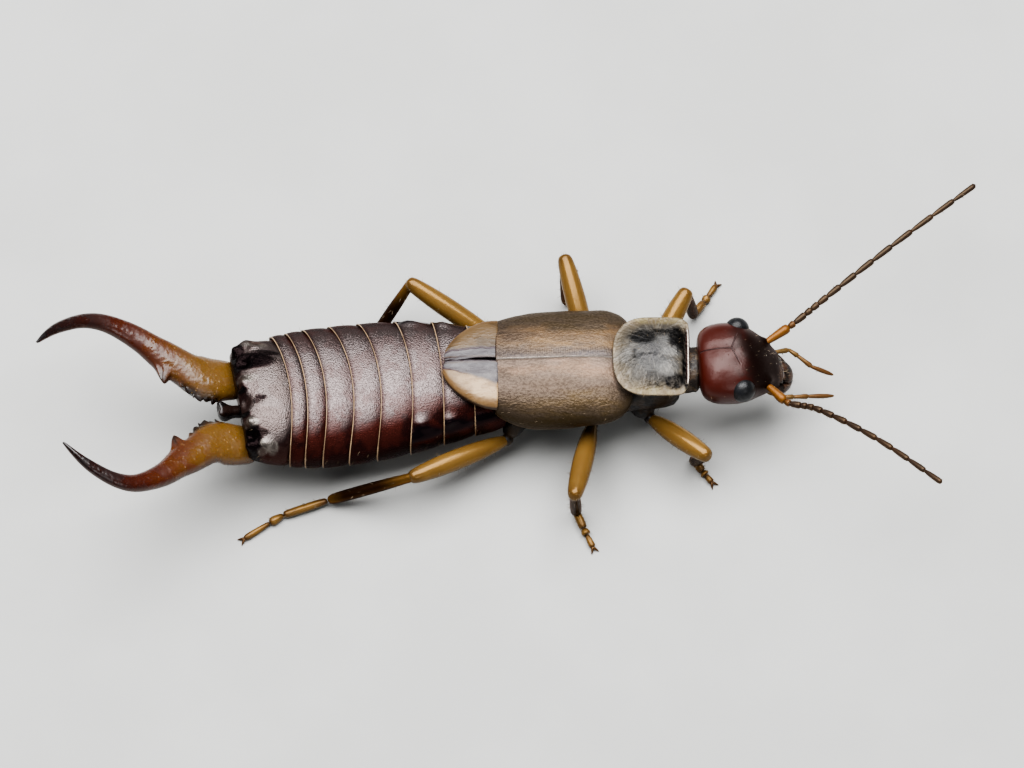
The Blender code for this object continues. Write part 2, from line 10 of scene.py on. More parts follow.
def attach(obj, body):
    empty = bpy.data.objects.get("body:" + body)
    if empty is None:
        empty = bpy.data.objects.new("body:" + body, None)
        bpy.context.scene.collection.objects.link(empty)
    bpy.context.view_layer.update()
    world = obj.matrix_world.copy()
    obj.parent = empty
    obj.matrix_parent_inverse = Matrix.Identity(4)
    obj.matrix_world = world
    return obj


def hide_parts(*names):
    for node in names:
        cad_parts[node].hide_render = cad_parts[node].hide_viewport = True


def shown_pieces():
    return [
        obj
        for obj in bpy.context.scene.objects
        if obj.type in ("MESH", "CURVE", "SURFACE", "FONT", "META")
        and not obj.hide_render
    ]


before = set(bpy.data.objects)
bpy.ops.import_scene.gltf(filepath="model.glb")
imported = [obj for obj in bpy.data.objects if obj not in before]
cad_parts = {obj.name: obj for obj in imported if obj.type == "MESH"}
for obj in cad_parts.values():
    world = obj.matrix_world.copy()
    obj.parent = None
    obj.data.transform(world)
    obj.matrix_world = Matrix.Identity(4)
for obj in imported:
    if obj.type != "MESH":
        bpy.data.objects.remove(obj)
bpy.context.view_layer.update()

# pieces are modelled in millimetres about a point under the wing covers, then settled into the frame
frameShift = Vector((0.06, -0.43, 0.0))
toMetres = 0.001
sideSigns = {"left": 1, "right": -1}
tailYaw = 11.0
headYaw = 4.0
headBase = Vector((4.66, 0.12, 2.16))


def deselectAll():
    for thing in list(bpy.context.selected_objects):
        thing.select_set(False)


def choose(*pieces):
    deselectAll()
    for piece in pieces:
        piece.select_set(True)
    bpy.context.view_layer.objects.active = pieces[0]


def startFrom(name, addPrimitive, **values):
    deselectAll()
    addPrimitive(**values)
    piece = bpy.context.object
    piece.name = piece.data.name = name
    bpy.ops.object.mode_set(mode="EDIT")
    bpy.context.tool_settings.mesh_select_mode = (True, False, False)
    return piece


@contextmanager
def shapeOf(piece):  # the mesh being edited, which then shows what was selected
    shape = bmesh.from_edit_mesh(piece.data)
    yield shape
    bmesh.update_edit_mesh(piece.data, loop_triangles=False, destructive=False)


def pick(piece, test, station=None):
    with shapeOf(piece) as shape:
        layer = shape.verts.layers.int.get("station")
        for vert in shape.verts:
            vert.select = (station is None or vert[layer] == station) and bool(test(vert.co))
        shape.select_flush_mode()


def pickFaces(piece, test):
    pick(piece, lambda co: False)
    with shapeOf(piece) as shape:
        for face in shape.faces:
            if test(face.calc_center_median(), face.normal):
                face.select_set(True)


def markStation(piece, number):
    with shapeOf(piece) as shape:
        layer = shape.verts.layers.int.get("station") or shape.verts.layers.int.new("station")
        for vert in shape.verts:
            if vert.select:
                vert[layer] = number


def turnPicked(degrees, axis, about):  # with no window the operator turns the other way
    bpy.ops.transform.rotate(value=-math.radians(degrees), orient_axis=axis, center_override=about)


def everywhere(place):
    return True


def pushNear(piece, place, reach, move):  # a soft grab round one point
    with shapeOf(piece) as shape:
        nearest = min(shape.verts, key=lambda vert: (vert.co - Vector(place)).length_squared)
        for vert in shape.verts:
            vert.select = vert == nearest
        shape.select_flush_mode()
    bpy.ops.transform.translate(
        value=move, use_proportional_edit=True, proportional_edit_falloff="SMOOTH", proportional_size=reach
    )


def leaveEditing(piece):
    bpy.ops.mesh.select_all(action="SELECT")
    bpy.ops.mesh.normals_make_consistent(inside=False)
    bpy.ops.object.mode_set(mode="OBJECT")
    if "station" in piece.data.attributes:
        piece.data.attributes.remove(piece.data.attributes["station"])
    return piece


def squarer(distance, power):  # how far a point of a circle moves out as the circle grows squarer
    return distance ** (2 / power - 1) if distance > 0.001 else 1.0


# rows are x, y, z, half width, rise, drop, and may go on with yaw in degrees and how far the sides sweep back
def ringLoft(name, rows, sides=32, power=2.0, keep=None, editing=False):
    piece = startFrom(name, bpy.ops.mesh.primitive_circle_add, vertices=sides, radius=1.0)
    turnPicked(90, "Y", (0, 0, 0))
    shape = bmesh.from_edit_mesh(piece.data)
    corners = sorted({(round(abs(v.co.y), 4), round(abs(v.co.z), 4)) for v in shape.verts})
    for across, high in corners:
        pick(piece, lambda co: abs(abs(co.y) - across) < 2e-4 and abs(abs(co.z) - high) < 2e-4)
        wide, tall = squarer(across, power), squarer(high, power)
        bpy.ops.transform.resize(value=(1, wide, tall), center_override=(0, 0, 0))
        bpy.ops.transform.translate(value=(-((across * wide) ** 2), 0, 0))
    if keep:
        pick(piece, lambda co: not keep(co))
        bpy.ops.mesh.delete(type="VERT")
    pick(piece, everywhere)
    markStation(piece, 0)
    old = (0, 0, 0, 1, 1, 1, 0, 1)
    for number, row in enumerate(rows):
        new = (*row, *(0.0, 0.01)[len(row) - 6 :])
        middle = new[:3]
        if number:
            bpy.ops.mesh.extrude_region_move()
            markStation(piece, number)
            if old[6]:
                turnPicked(-old[6], "Z", old[:3])
        bpy.ops.transform.translate(value=[a - b for a, b in zip(middle, old)])
        bpy.ops.transform.resize(value=(new[7] / old[7], new[3] / old[3], 1), center_override=middle)
        pick(piece, lambda co: co.z > middle[2] + 1e-6, number)
        bpy.ops.transform.resize(value=(1, 1, new[4] / old[4]), center_override=middle)
        pick(piece, lambda co: co.z < middle[2] - 1e-6, number)
        bpy.ops.transform.resize(value=(1, 1, new[5] / old[5]), center_override=middle)
        pick(piece, everywhere, number)
        if new[6]:
            turnPicked(new[6], "Z", middle)
        old = new
    if not keep:
        for number in (0, len(rows) - 1):
            pick(piece, everywhere, number)
            bpy.ops.mesh.edge_face_add()
            bpy.ops.mesh.poke()
    bpy.ops.mesh.select_all(action="SELECT")
    bpy.ops.mesh.normals_make_consistent(inside=False)
    return piece if editing else leaveEditing(piece)


def applyModifier(piece, kind, **values):
    choose(piece)
    change = piece.modifiers.new(kind.lower(), kind)
    for key, value in values.items():
        setattr(change, key, value)
    bpy.ops.object.modifier_apply(modifier=change.name)


def smoothed(piece, levels=1):
    applyModifier(piece, "SUBSURF", levels=levels, render_levels=levels)
    return piece


def thickened(piece, thickness):
    applyModifier(leaveEditing(piece), "SOLIDIFY", thickness=thickness, offset=-1)
    return smoothed(piece)


def joined(name, pieces):
    choose(*pieces)
    if len(pieces) > 1:
        bpy.ops.object.join()
    pieces[0].name = pieces[0].data.name = name
    return pieces[0]


smoothBelow = 50  # degrees between neighbouring faces


def settle(piece, replaced):
    piece.matrix_world = Matrix.Scale(toMetres, 4) @ Matrix.Translation(frameShift) @ piece.matrix_world
    choose(piece)
    bpy.ops.object.transform_apply(location=True, rotation=True, scale=True)
    bpy.ops.object.shade_smooth_by_angle(angle=math.radians(smoothBelow))
    if replaced:
        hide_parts(*replaced)
    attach(piece, "root")
    return piece


# a number at every point for the finishes to read, from the point's place where the piece was modelled
def paintValues(piece, name, rule):
    layer = piece.data.attributes.new(name, "FLOAT", "POINT")
    layer.data.foreach_set("value", [float(rule(vert.co)) for vert in piece.data.vertices])


def ease(value, low, high):
    share = max(0.0, min(1.0, (value - low) / (high - low)))
    return share * share * (3 - 2 * share)


def patches(spots):  # soft-edged oval patches: x, y, half length, half width, strength
    def rule(co):
        found = 0.0
        for x, y, wide, tall, strength in spots:
            away = math.hypot((co.x - x) / wide, (co.y - y) / tall)
            found = max(found, strength * ease(1.3 - away, 0.0, 0.5))
        return found

    return rule


def turnedAbout(co, x, y, degrees):  # how far ahead and aside of a point that is turned
    turn = math.radians(degrees)
    dx, dy = co.x - x, co.y - y
    return dx * math.cos(turn) + dy * math.sin(turn), -dx * math.sin(turn) + dy * math.cos(turn)


def inHead(forward, aside, up):
    turn = math.radians(headYaw)
    ahead, across = math.cos(turn), math.sin(turn)
    return headBase + Vector((forward * ahead - aside * across, forward * across + aside * ahead, up))


def between(rows, steps):  # rows in between, on a smooth curve through them
    out = []
    last = len(rows) - 1
    for i in range(last):
        before, start, end, after = rows[max(i - 1, 0)], rows[i], rows[i + 1], rows[min(i + 2, last)]
        for k in range(steps):
            t = k / steps
            out.append(
                tuple(
                    0.5 * (2 * b + (c - a) * t + (2 * a - 5 * b + 4 * c - d) * t * t + (3 * b - a - 3 * c + d) * t**3)
                    for a, b, c, d in zip(before, start, end, after)
                )
            )
    return out + [tuple(rows[last])]


# short hairs standing on a piece: one tapered, bent hair is modelled, then copied to points drawn over its faces
def bristleCoat(name, piece, count, length, lean, where, thick=0.006, lift=0.6, seed=1):
    draw = random.Random(seed)
    hair = startFrom("hair", bpy.ops.mesh.primitive_circle_add, vertices=3, radius=thick, fill_type="NGON")
    for share, slide, size in ((0.45, 0.10, 0.8), (0.55, 0.30, 0.12)):
        top = max(vert.co.z for vert in bmesh.from_edit_mesh(hair.data).verts)
        pick(hair, lambda co: co.z > top - 1e-6)
        bpy.ops.mesh.extrude_region_move()
        bpy.ops.transform.translate(value=(slide * length, 0, share * length))
        chosen = [vert.co for vert in bmesh.from_edit_mesh(hair.data).verts if vert.select]
        middle = sum(chosen, Vector()) / len(chosen)
        bpy.ops.transform.resize(value=(size, size, 1), center_override=middle)
    leaveEditing(hair)
    shape = bmesh.new()
    shape.from_mesh(piece.data)
    shape.transform(piece.matrix_world)
    shape.normal_update()
    spots = [(face.calc_center_median(), face.normal.copy(), face.calc_area()) for face in shape.faces]
    shape.free()
    spots = [spot for spot in spots if where(spot[0], spot[1])]
    if not spots:
        raise ValueError(f"no place for {name}")
    # faces come in no fixed order, so they are put in one before the draw
    spots.sort(key=lambda spot: [round(part + 0.00037, 3) for part in spot[0]])
    chosen = draw.choices(spots, weights=[area for _, _, area in spots], k=count)
    copies = []
    for place, normal, area in chosen:
        side = normal.orthogonal().normalized()
        over = normal.cross(side)
        spread = math.sqrt(area) * 0.5
        root = place + side * draw.uniform(-spread, spread) + over * draw.uniform(-spread, spread)
        root -= normal * thick * 2
        flow = Vector(lean(place))
        flow = (flow - normal * flow.dot(normal)).normalized() if flow.length else side
        flow = (flow + side * draw.uniform(-0.3, 0.3) + over * draw.uniform(-0.3, 0.3)).normalized()
        up = (normal * lift + flow).normalized()
        across = up.cross(flow).normalized() if up.cross(flow).length > 1e-3 else side
        ahead = across.cross(up)
        copy = hair.copy()
        copy.data = hair.data.copy()
        bpy.context.scene.collection.objects.link(copy)
        turn = Matrix((-ahead, across, up)).transposed()
        if turn.determinant() < 0:
            turn = Matrix((-ahead, -across, up)).transposed()
        copy.matrix_world = Matrix.Translation(root) @ turn.to_4x4() @ Matrix.Scale(draw.uniform(0.6, 1.15), 4)
        copies.append(copy)
    bpy.data.objects.remove(hair)
    return joined(name, copies)


print("helpers ready")


# rear margins of the upper plates: x, y, z, half width, height, turn in degrees, sweep of the sides
abdomenPlan = {
    "front": (-0.30, 0.08, 1.42, 1.30, 0.86, 3.0, 0.00),
    "margins": (
        (-1.00, 0.07, 1.43, 1.48, 0.92, 5.0, 0.05),
        (-1.77, 0.00, 1.43, 1.67, 0.95, 6.2, 0.11),
        (-2.53, -0.12, 1.45, 1.81, 0.96, 7.4, 0.24),
        (-3.31, -0.24, 1.47, 1.88, 0.96, 8.8, 0.34),
        (-3.99, -0.35, 1.50, 1.90, 0.95, 9.2, 0.37),
        (-4.67, -0.46, 1.55, 1.89, 0.94, 9.2, 0.34),
        (-5.14, -0.55, 1.61, 1.84, 0.92, 9.2, 0.30),
        (-5.53, -0.61, 1.66, 1.78, 0.90, 9.2, 0.28),
    ),
    # how far along each plate, how far ahead of that, and how far under its full girth
    "stations": (
        (-0.16, 0.0, 0.07),
        (0.0, 0.0, 0.05),
        (0.08, 0.0, 0.034),
        (0.22, 0.0, 0.012),
        (0.45, 0.0, 0.0),
        (0.70, 0.0, -0.002),
        (0.86, 0.0, 0.004),
        (1.0, 0.032, 0.008),
        (1.0, 0.022, 0.0),
        (1.0, 0.0, 0.002),
        (1.0, -0.006, 0.014),
    ),
    "power": 2.25,
    "thickness": 0.035,
    "sides": 64,
    # the raised folds of the scent glands: where, and how far they stand out
    "glandFolds": {
        3: (((-1.58, -1.36, 2.00), (0, -0.06, 0.10)), ((-1.80, 1.36, 2.00), (0, 0.06, 0.10))),
        4: (((-2.28, -1.50, 2.00), (0, -0.07, 0.12)), ((-2.56, 1.34, 2.02), (0, 0.07, 0.12))),
    },
}


def blendRows(first, second, share):
    return [a + (b - a) * share for a, b in zip(first, second)]


def upperPlate(number, front, rear):
    rows = []
    for share, back, under in abdomenPlan["stations"]:
        x, y, z, half, tall, turn, sweep = blendRows(front, rear, share)
        rows.append((x + back, y, z, half - under, tall - under, tall * 0.95 - under, turn, max(sweep, 0.01)))
    plate = ringLoft(
        f"upperPlate{number}",
        rows,
        abdomenPlan["sides"],
        abdomenPlan["power"],
        keep=lambda co: co.z > -0.42,
        editing=True,
    )
    folds = abdomenPlan["glandFolds"].get(number, ())
    for place, move in folds:
        pushNear(plate, place, 0.20, move)
        pushNear(plate, Vector(place) + Vector((0.14, 0, 0)), 0.16, [part * 0.6 for part in move])
    thickened(plate, abdomenPlan["thickness"])
    x, y, _, half, _, turn, sweep = rear

    def aheadOfRim(co):
        ahead, aside = turnedAbout(co, x, y, turn)
        return ahead + sweep * (aside / half) ** 2

    def glandZone(co):
        aside = abs(turnedAbout(co, x, y, turn)[1]) / half
        return ease(aside, 0.76, 0.84) * ease(co.z, 1.62, 1.80) if number < 5 else 0.0

    paintValues(plate, "ahead", aheadOfRim)
    paintValues(plate, "gland", glandZone)
    return plate


def makeAbdomen():
    plates = []
    front = abdomenPlan["front"]
    for number, rear in enumerate(abdomenPlan["margins"], 2):
        plates.append(upperPlate(number, front, rear))
        front = rear
    belly = []
    front = abdomenPlan["front"]
    belly.append((front[0] + 0.06, front[1], front[2], 1.0, 0.70, 0.78, front[5], 0.01))
    for rear in abdomenPlan["margins"]:
        length = front[0] - rear[0]
        for share, under in ((0.06, 0.13), (0.25, 0.10), (0.9, 0.085), (1.0, 0.09), (1.02, 0.12)):
            x, y, z, half, tall, turn, sweep = blendRows(front, rear, share)
            belly.append((x, y, z, half - under, tall - 0.13, tall * 0.95 - under + 0.06, turn, max(sweep, 0.01)))
        front = rear
    underside = ringLoft("underside", belly, 48, 2.25)
    return plates, underside


# the big last ring over the roots of the pincers
lastRingPlan = {
    "rows": (
        (-5.46, -0.61, 1.67, 1.62, 0.80, 0.76, 8.6, 0.22),
        (-5.53, -0.62, 1.67, 1.67, 0.84, 0.80, 8.6, 0.22),
        (-5.70, -0.64, 1.70, 1.73, 0.87, 0.82, 9.0, 0.20),
        (-5.90, -0.67, 1.73, 1.73, 0.87, 0.80, 9.3, 0.16),
        (-6.10, -0.70, 1.75, 1.70, 0.86, 0.78, 9.5, 0.12),
        (-6.28, -0.74, 1.77, 1.66, 0.84, 0.75, 9.8, 0.08),
        (-6.45, -0.77, 1.78, 1.60, 0.80, 0.72, 10.0, 0.04),
        (-6.60, -0.80, 1.79, 1.55, 0.74, 0.69, 10.5, 0.01),
        (-6.70, -0.82, 1.79, 1.50, 0.66, 0.66, 11.0, 0.01),
        (-6.78, -0.84, 1.79, 1.42, 0.56, 0.58, 11.0, 0.01),
        (-6.80, -0.84, 1.79, 1.34, 0.48, 0.50, 11.0, 0.01),
    ),
    "sides": 64,
    "power": 2.3,
}


def makeLastRing():
    ring = ringLoft("lastRing", lastRingPlan["rows"], lastRingPlan["sides"], lastRingPlan["power"], editing=True)
    bpy.ops.mesh.select_all(action="SELECT")
    bpy.ops.mesh.subdivide(number_cuts=1, smoothness=0.6)
    # place, reach and movement of each grab
    grabs = (
        ((-6.62, -0.56, 2.54), 0.24, (-0.05, 0, 0.13)),
        ((-6.46, -1.64, 2.46), 0.24, (-0.05, 0, 0.13)),
        ((-6.76, 0.42, 2.16), 0.26, (-0.12, 0.04, 0.15)),
        ((-6.42, -2.16, 2.08), 0.26, (-0.12, -0.04, 0.15)),
        ((-6.46, 0.46, 2.34), 0.28, (0, 0.03, 0.08)),
        ((-6.10, -2.14, 2.22), 0.30, (0, -0.03, 0.09)),
        ((-6.66, 0.02, 2.40), 0.24, (0.06, 0, -0.15)),
        ((-6.40, -1.90, 2.26), 0.20, (0.05, 0, -0.10)),
        ((-6.60, -1.10, 2.52), 0.26, (0.02, 0, -0.08)),
        ((-6.24, -1.06, 2.62), 0.11, (0, 0, -0.08)),
        ((-6.66, 0.60, 2.20), 0.28, (-0.03, 0.10, 0.08)),
        ((-6.20, 0.86, 2.00), 0.36, (0, -0.10, -0.04)),
    )
    for place, reach, move in grabs:
        pushNear(ring, place, reach, move)
    smoothed(leaveEditing(ring))

    # black patches: painted dark reflection, where the glossy shell mirrors dark surroundings
    black = patches(
        (
            (-6.50, 0.06, 0.56, 0.24, 1.0),
            (-6.86, 0.22, 0.20, 0.50, 1.0),
            (-6.16, 0.28, 0.34, 0.10, 0.8),
            (-6.72, -0.76, 0.15, 0.07, 1.0),
            (-6.86, -0.62, 0.07, 0.18, 1.0),
            (-6.22, -1.00, 0.13, 0.05, 0.95),
            (-6.32, -1.10, 0.08, 0.05, 0.7),
            (-6.62, -1.40, 0.15, 0.065, 1.0),
            (-6.74, -1.62, 0.08, 0.26, 1.0),
            (-6.46, -2.06, 0.30, 0.38, 1.0),
            (-6.24, -1.88, 0.20, 0.10, 0.7),
        )
    )
    # painted highlights: bright patches where the lamp's reflection falls on the bumps
    glint = patches(
        (
            (-6.50, 0.62, 0.26, 0.10, 0.8),
            (-6.28, 0.56, 0.16, 0.08, 0.8),
            (-6.62, -0.47, 0.20, 0.11, 0.9),
            (-6.44, -0.44, 0.14, 0.09, 0.7),
            (-6.46, -1.64, 0.17, 0.11, 0.9),
            (-6.10, -2.14, 0.12, 0.09, 0.9),
            (-5.94, -2.20, 0.14, 0.13, 0.7),
            (-6.16, -2.28, 0.12, 0.05, 0.8),
            (-6.84, -1.02, 0.06, 0.26, 0.9),
        )
    )

    # a dark band along the rear edge, joined with the painted dark patches in the black value
    def rim(co):
        return ease(0.035 - turnedAbout(co, -6.80, -0.84, tailYaw)[0], 0.0, 0.04)

    paintValues(ring, "black", lambda co: max(rim(co), black(co) * (1 - 0.9 * glint(co))))
    paintValues(ring, "glint", glint)
    return ring


def pincerHeight(back):  # they rise to the rear
    return 1.57 + 0.45 * back + 0.033 * back * back


def inPincers(back, aside, up):
    turn = math.radians(tailYaw)
    x, y = pincerPlan["root"]
    ahead, across = math.cos(turn), math.sin(turn)
    return Vector((x - back * ahead - aside * across, y - back * across + aside * ahead, pincerHeight(back) + up))


pincerPlan = {
    "root": (-6.88, -0.902),
    # back, outer edge, inner edge, half thickness
    "run": (
        (-0.26, 1.36, 0.52, 0.27),
        (-0.10, 1.43, 0.42, 0.33),
        (0.12, 1.47, 0.38, 0.36),
        (0.30, 1.49, 0.35, 0.37),
        (0.50, 1.51, 0.34, 0.37),
        (0.80, 1.58, 0.38, 0.36),
        (1.05, 1.70, 0.58, 0.34),
        (1.40, 1.93, 0.86, 0.31),
        (1.75, 2.12, 1.19, 0.28),
        (2.10, 2.31, 1.57, 0.25),
        (2.60, 2.47, 1.93, 0.22),
        (3.05, 2.52, 2.07, 0.19),
        (3.50, 2.43, 2.04, 0.17),
        (3.90, 2.25, 1.88, 0.15),
        (4.25, 2.02, 1.70, 0.13),
        (4.55, 1.72, 1.50, 0.10),
        (4.72, 1.50, 1.38, 0.06),
        (4.78, 1.42, 1.37, 0.03),
    ),
    "shorter": {"left": 0.15, "right": 0.35},
    "bend": 2.60,
    "sides": 32,
    "teeth": (
        (0.40, 0.37, 0.10, 0.08),
        (0.54, 0.36, 0.11, 0.13),
        (0.68, 0.38, 0.10, 0.10),
        (0.82, 0.43, 0.11, 0.14),
        (0.97, 0.53, 0.11, 0.12),
        (1.12, 0.64, 0.10, 0.10),
        (1.26, 0.76, 0.09, 0.07),
        (1.60, 1.06, 0.20, 0.28),
    ),
}


def makePincer(side):
    sign = sideSigns[side]
    squeeze = pincerPlan["shorter"][side] / (4.75 - pincerPlan["bend"])
    run = []
    for back, *rest in between(pincerPlan["run"], 2):
        run.append((back - max(back - pincerPlan["bend"], 0) * squeeze, *rest))
    rows = []
    for i, (back, outer, inner, thick) in enumerate(run):
        before, after = run[max(i - 1, 0)], run[min(i + 1, len(run) - 1)]
        turn = math.atan2(sum(after[1:3]) - sum(before[1:3]), 2 * (after[0] - before[0]))
        turn = max(min(turn, 1.1), -1.1) * min(1.0, i / 8)
        middle, half = (outer + inner) / 2, (outer - inner) / 2 * math.cos(turn)
        rows.append((-back, sign * middle, pincerHeight(back), half, thick, thick, -sign * math.degrees(turn), 0.01))
    arm = ringLoft(f"pincer_{side}", rows, pincerPlan["sides"], 2.2, editing=True)
    # the crinkled lobes of the broad root, then the strong tooth where the arm narrows: back, aside, size, reach
    for back, aside, size, reach in pincerPlan["teeth"]:
        root = Vector((-back, sign * aside, pincerHeight(back)))
        pickFaces(arm, lambda co, normal: (co - root).length < size and normal.y * sign < 0.1)
        bpy.ops.mesh.extrude_region_move()
        bpy.ops.transform.resize(value=(0.62, 0.8, 0.7), center_override=root)
        bpy.ops.transform.translate(value=(-reach * 0.15, -sign * reach * 0.55, 0))
        bpy.ops.mesh.extrude_region_move()
        middle = root + Vector((-reach * 0.15, -sign * reach * 0.55, 0))
        bpy.ops.transform.resize(value=(0.35, 0.6, 0.4), center_override=middle)
        bpy.ops.transform.translate(value=(-reach * 0.15, -sign * reach * 0.45, 0))
    leaveEditing(arm)
    paintValues(arm, "along", lambda co: -co.x / 4.78)
    inner = [(row[0], row[2]) for row in pincerPlan["run"]]

    def darkTeeth(co):
        back, edge = -co.x, 9.0
        for (start, first), (end, last) in zip(inner, inner[1:]):
            if start <= back <= end:
                edge = abs(co.y) - first - (last - first) * (back - start) / (end - start)
        lobes = ease(0.13 - edge, 0.0, 0.16) * ease(back, 0.24, 0.42) * ease(1.40 - back, 0.0, 0.25)
        tooth = ease(0.20 - math.hypot(back - 1.66, abs(co.y) - 0.86), 0.0, 0.14)
        return max(lobes, tooth * 0.85)

    paintValues(arm, "dark", darkTeeth)
    arm.location = (*pincerPlan["root"], 0)
    arm.rotation_euler = (0, 0, math.radians(tailYaw))
    return smoothed(arm)


def makeTailKnob():
    rows = []
    for back, size, up in (
        (-0.24, 0.12, 0.06),
        (-0.10, 0.20, 0.05),
        (0.04, 0.17, 0.03),
        (0.14, 0.19, 0.02),
        (0.24, 0.27, 0.0),
        (0.36, 0.28, 0.0),
        (0.43, 0.22, 0.0),
        (0.46, 0.14, 0.0),
    ):
        rows.append((*inPincers(back, 0.0, up), 0.20 * size / 0.26, size, size, 11.0, 0.01))
    knob = ringLoft("tailKnob", rows, 24, 2.8, editing=True)
    for back, aside, up, move in (
        (0.40, 0.16, 0.2, (-0.03, 0.06, 0.05)),
        (0.40, -0.16, 0.2, (-0.03, -0.06, 0.05)),
        (0.44, 0.0, 0.1, (0.07, 0, 0)),
    ):
        pushNear(knob, inPincers(back, aside, up), 0.13, move)
    return smoothed(leaveEditing(knob))


wingCoverPlan = {
    # x, middle y, half width, height of the edge, height at the seam
    "rows": (
        (-0.42, 0.06, 1.22, 2.14, 2.595),
        (-0.395, 0.06, 1.27, 2.09, 2.61),
        (-0.30, 0.06, 1.34, 2.03, 2.615),
        (0.00, 0.06, 1.47, 1.94, 2.63),
        (0.30, 0.065, 1.55, 1.89, 2.64),
        (0.55, 0.07, 1.60, 1.87, 2.65),
        (1.15, 0.08, 1.62, 1.90, 2.67),
        (1.55, 0.09, 1.61, 1.94, 2.68),
        (1.90, 0.10, 1.58, 1.98, 2.68),
        (2.30, 0.11, 1.58, 2.04, 2.65),
        (2.62, 0.11, 1.47, 2.08, 2.56),
        (2.78, 0.115, 1.36, 2.09, 2.50),
        (2.92, 0.12, 1.18, 2.11, 2.44),
        (3.02, 0.12, 0.96, 2.12, 2.38),
    ),
    "power": 2.4,
    "sides": 96,
    "drop": 0.2,
    "cut": 0.25,
    "thickness": 0.06,
}


# half of a pair that lies along the middle line, open below: rows as in the wing covers' plan
def archedHalf(name, plan, sign, apart):
    rows = []
    for x, middle, half, edge, top in between(plan["rows"], 2):
        rows.append((x, middle + sign * apart(x), edge, half, top - edge, plan["drop"], 0.0, 0.01))
    keep = lambda co: co.z > -plan["cut"] and co.y * sign > -0.001
    return ringLoft(name, rows, plan["sides"], plan["power"], keep, editing=True)


def makeWingCover(side):
    sign = sideSigns[side]
    cover = archedHalf(f"wingCover_{side}", wingCoverPlan, sign, lambda x: 0.002)
    pick(cover, lambda co: abs(co.y - 0.068 - 0.0175 * co.x) < 0.04)  # the seam stands up as a fine keel
    bpy.ops.transform.translate(value=(0, 0, 0.022))
    thickened(cover, wingCoverPlan["thickness"])
    paintValues(cover, "seam", lambda co: abs(co.y - 0.066 - 0.016 * co.x))
    paintValues(cover, "rear", lambda co: co.x + 0.42)
    paintValues(cover, "farSide", lambda co: 1.0 if sign > 0 else 0.15)

    def fromHem(co):
        rows = wingCoverPlan["rows"]
        for first, second in zip(rows, rows[1:]):
            if first[0] <= co.x <= second[0]:
                share = (co.x - first[0]) / (second[0] - first[0])
                edge, top = (first[k] + (second[k] - first[k]) * share for k in (3, 4))
                return co.z - (edge - wingCoverPlan["cut"] * wingCoverPlan["drop"])
        return 1.0

    paintValues(cover, "hem", fromHem)
    return cover


wingPacketPlan = {
    "rows": (
        (-0.34, 0.07, 1.18, 2.28, 2.575),
        (-0.55, 0.07, 1.16, 2.30, 2.60),
        (-0.75, 0.065, 1.12, 2.32, 2.61),
        (-1.00, 0.06, 1.01, 2.35, 2.61),
        (-1.25, 0.04, 0.85, 2.38, 2.61),
        (-1.42, 0.03, 0.70, 2.40, 2.60),
        (-1.55, 0.02, 0.54, 2.42, 2.585),
        (-1.64, 0.01, 0.38, 2.44, 2.57),
        (-1.69, 0.01, 0.22, 2.46, 2.555),
    ),
    "power": 2.6,
    "sides": 72,
    "drop": 0.14,
    "cut": 0.3,
    "thickness": 0.05,
}


def makeWingPacket(side):
    sign = sideSigns[side]
    slit = lambda x: 0.005 + 0.04 * max(0.0, min(1.0, (x + 1.45) / 0.8))
    packet = archedHalf(f"wingPacket_{side}", wingPacketPlan, sign, slit)
    # the inner band lies a little lower than the swollen pad, and its edge along the slit is a cord
    pick(packet, lambda co: co.x < -0.3 and abs(co.y - 0.05) < 0.30)
    bpy.ops.transform.translate(value=(0, 0, -0.022))
    pick(packet, lambda co: co.x < -0.3 and abs(co.y - 0.05) < 0.09)
    bpy.ops.transform.translate(value=(0, 0, 0.040))
    thickened(packet, wingPacketPlan["thickness"])
    plan = wingPacketPlan["rows"]

    def fromEdge(co):
        for (x, middle, half, *rest), (nextX, nextMiddle, nextHalf, *more) in zip(plan, plan[1:]):
            if nextX <= co.x <= x:
                share = (x - co.x) / (x - nextX)
                return half + (nextHalf - half) * share - abs(co.y - middle)
        return 0.0 if co.x < plan[-1][0] else 1.0

    paintValues(packet, "seam", lambda co: abs(co.y - 0.045 - 0.03 * (co.x + 1)))
    paintValues(packet, "rear", fromEdge)
    # the far packet is marked so that its pad is coloured with painted shade
    paintValues(packet, "farSide", lambda co: 1.0 if sign > 0 else 0.0)
    return packet


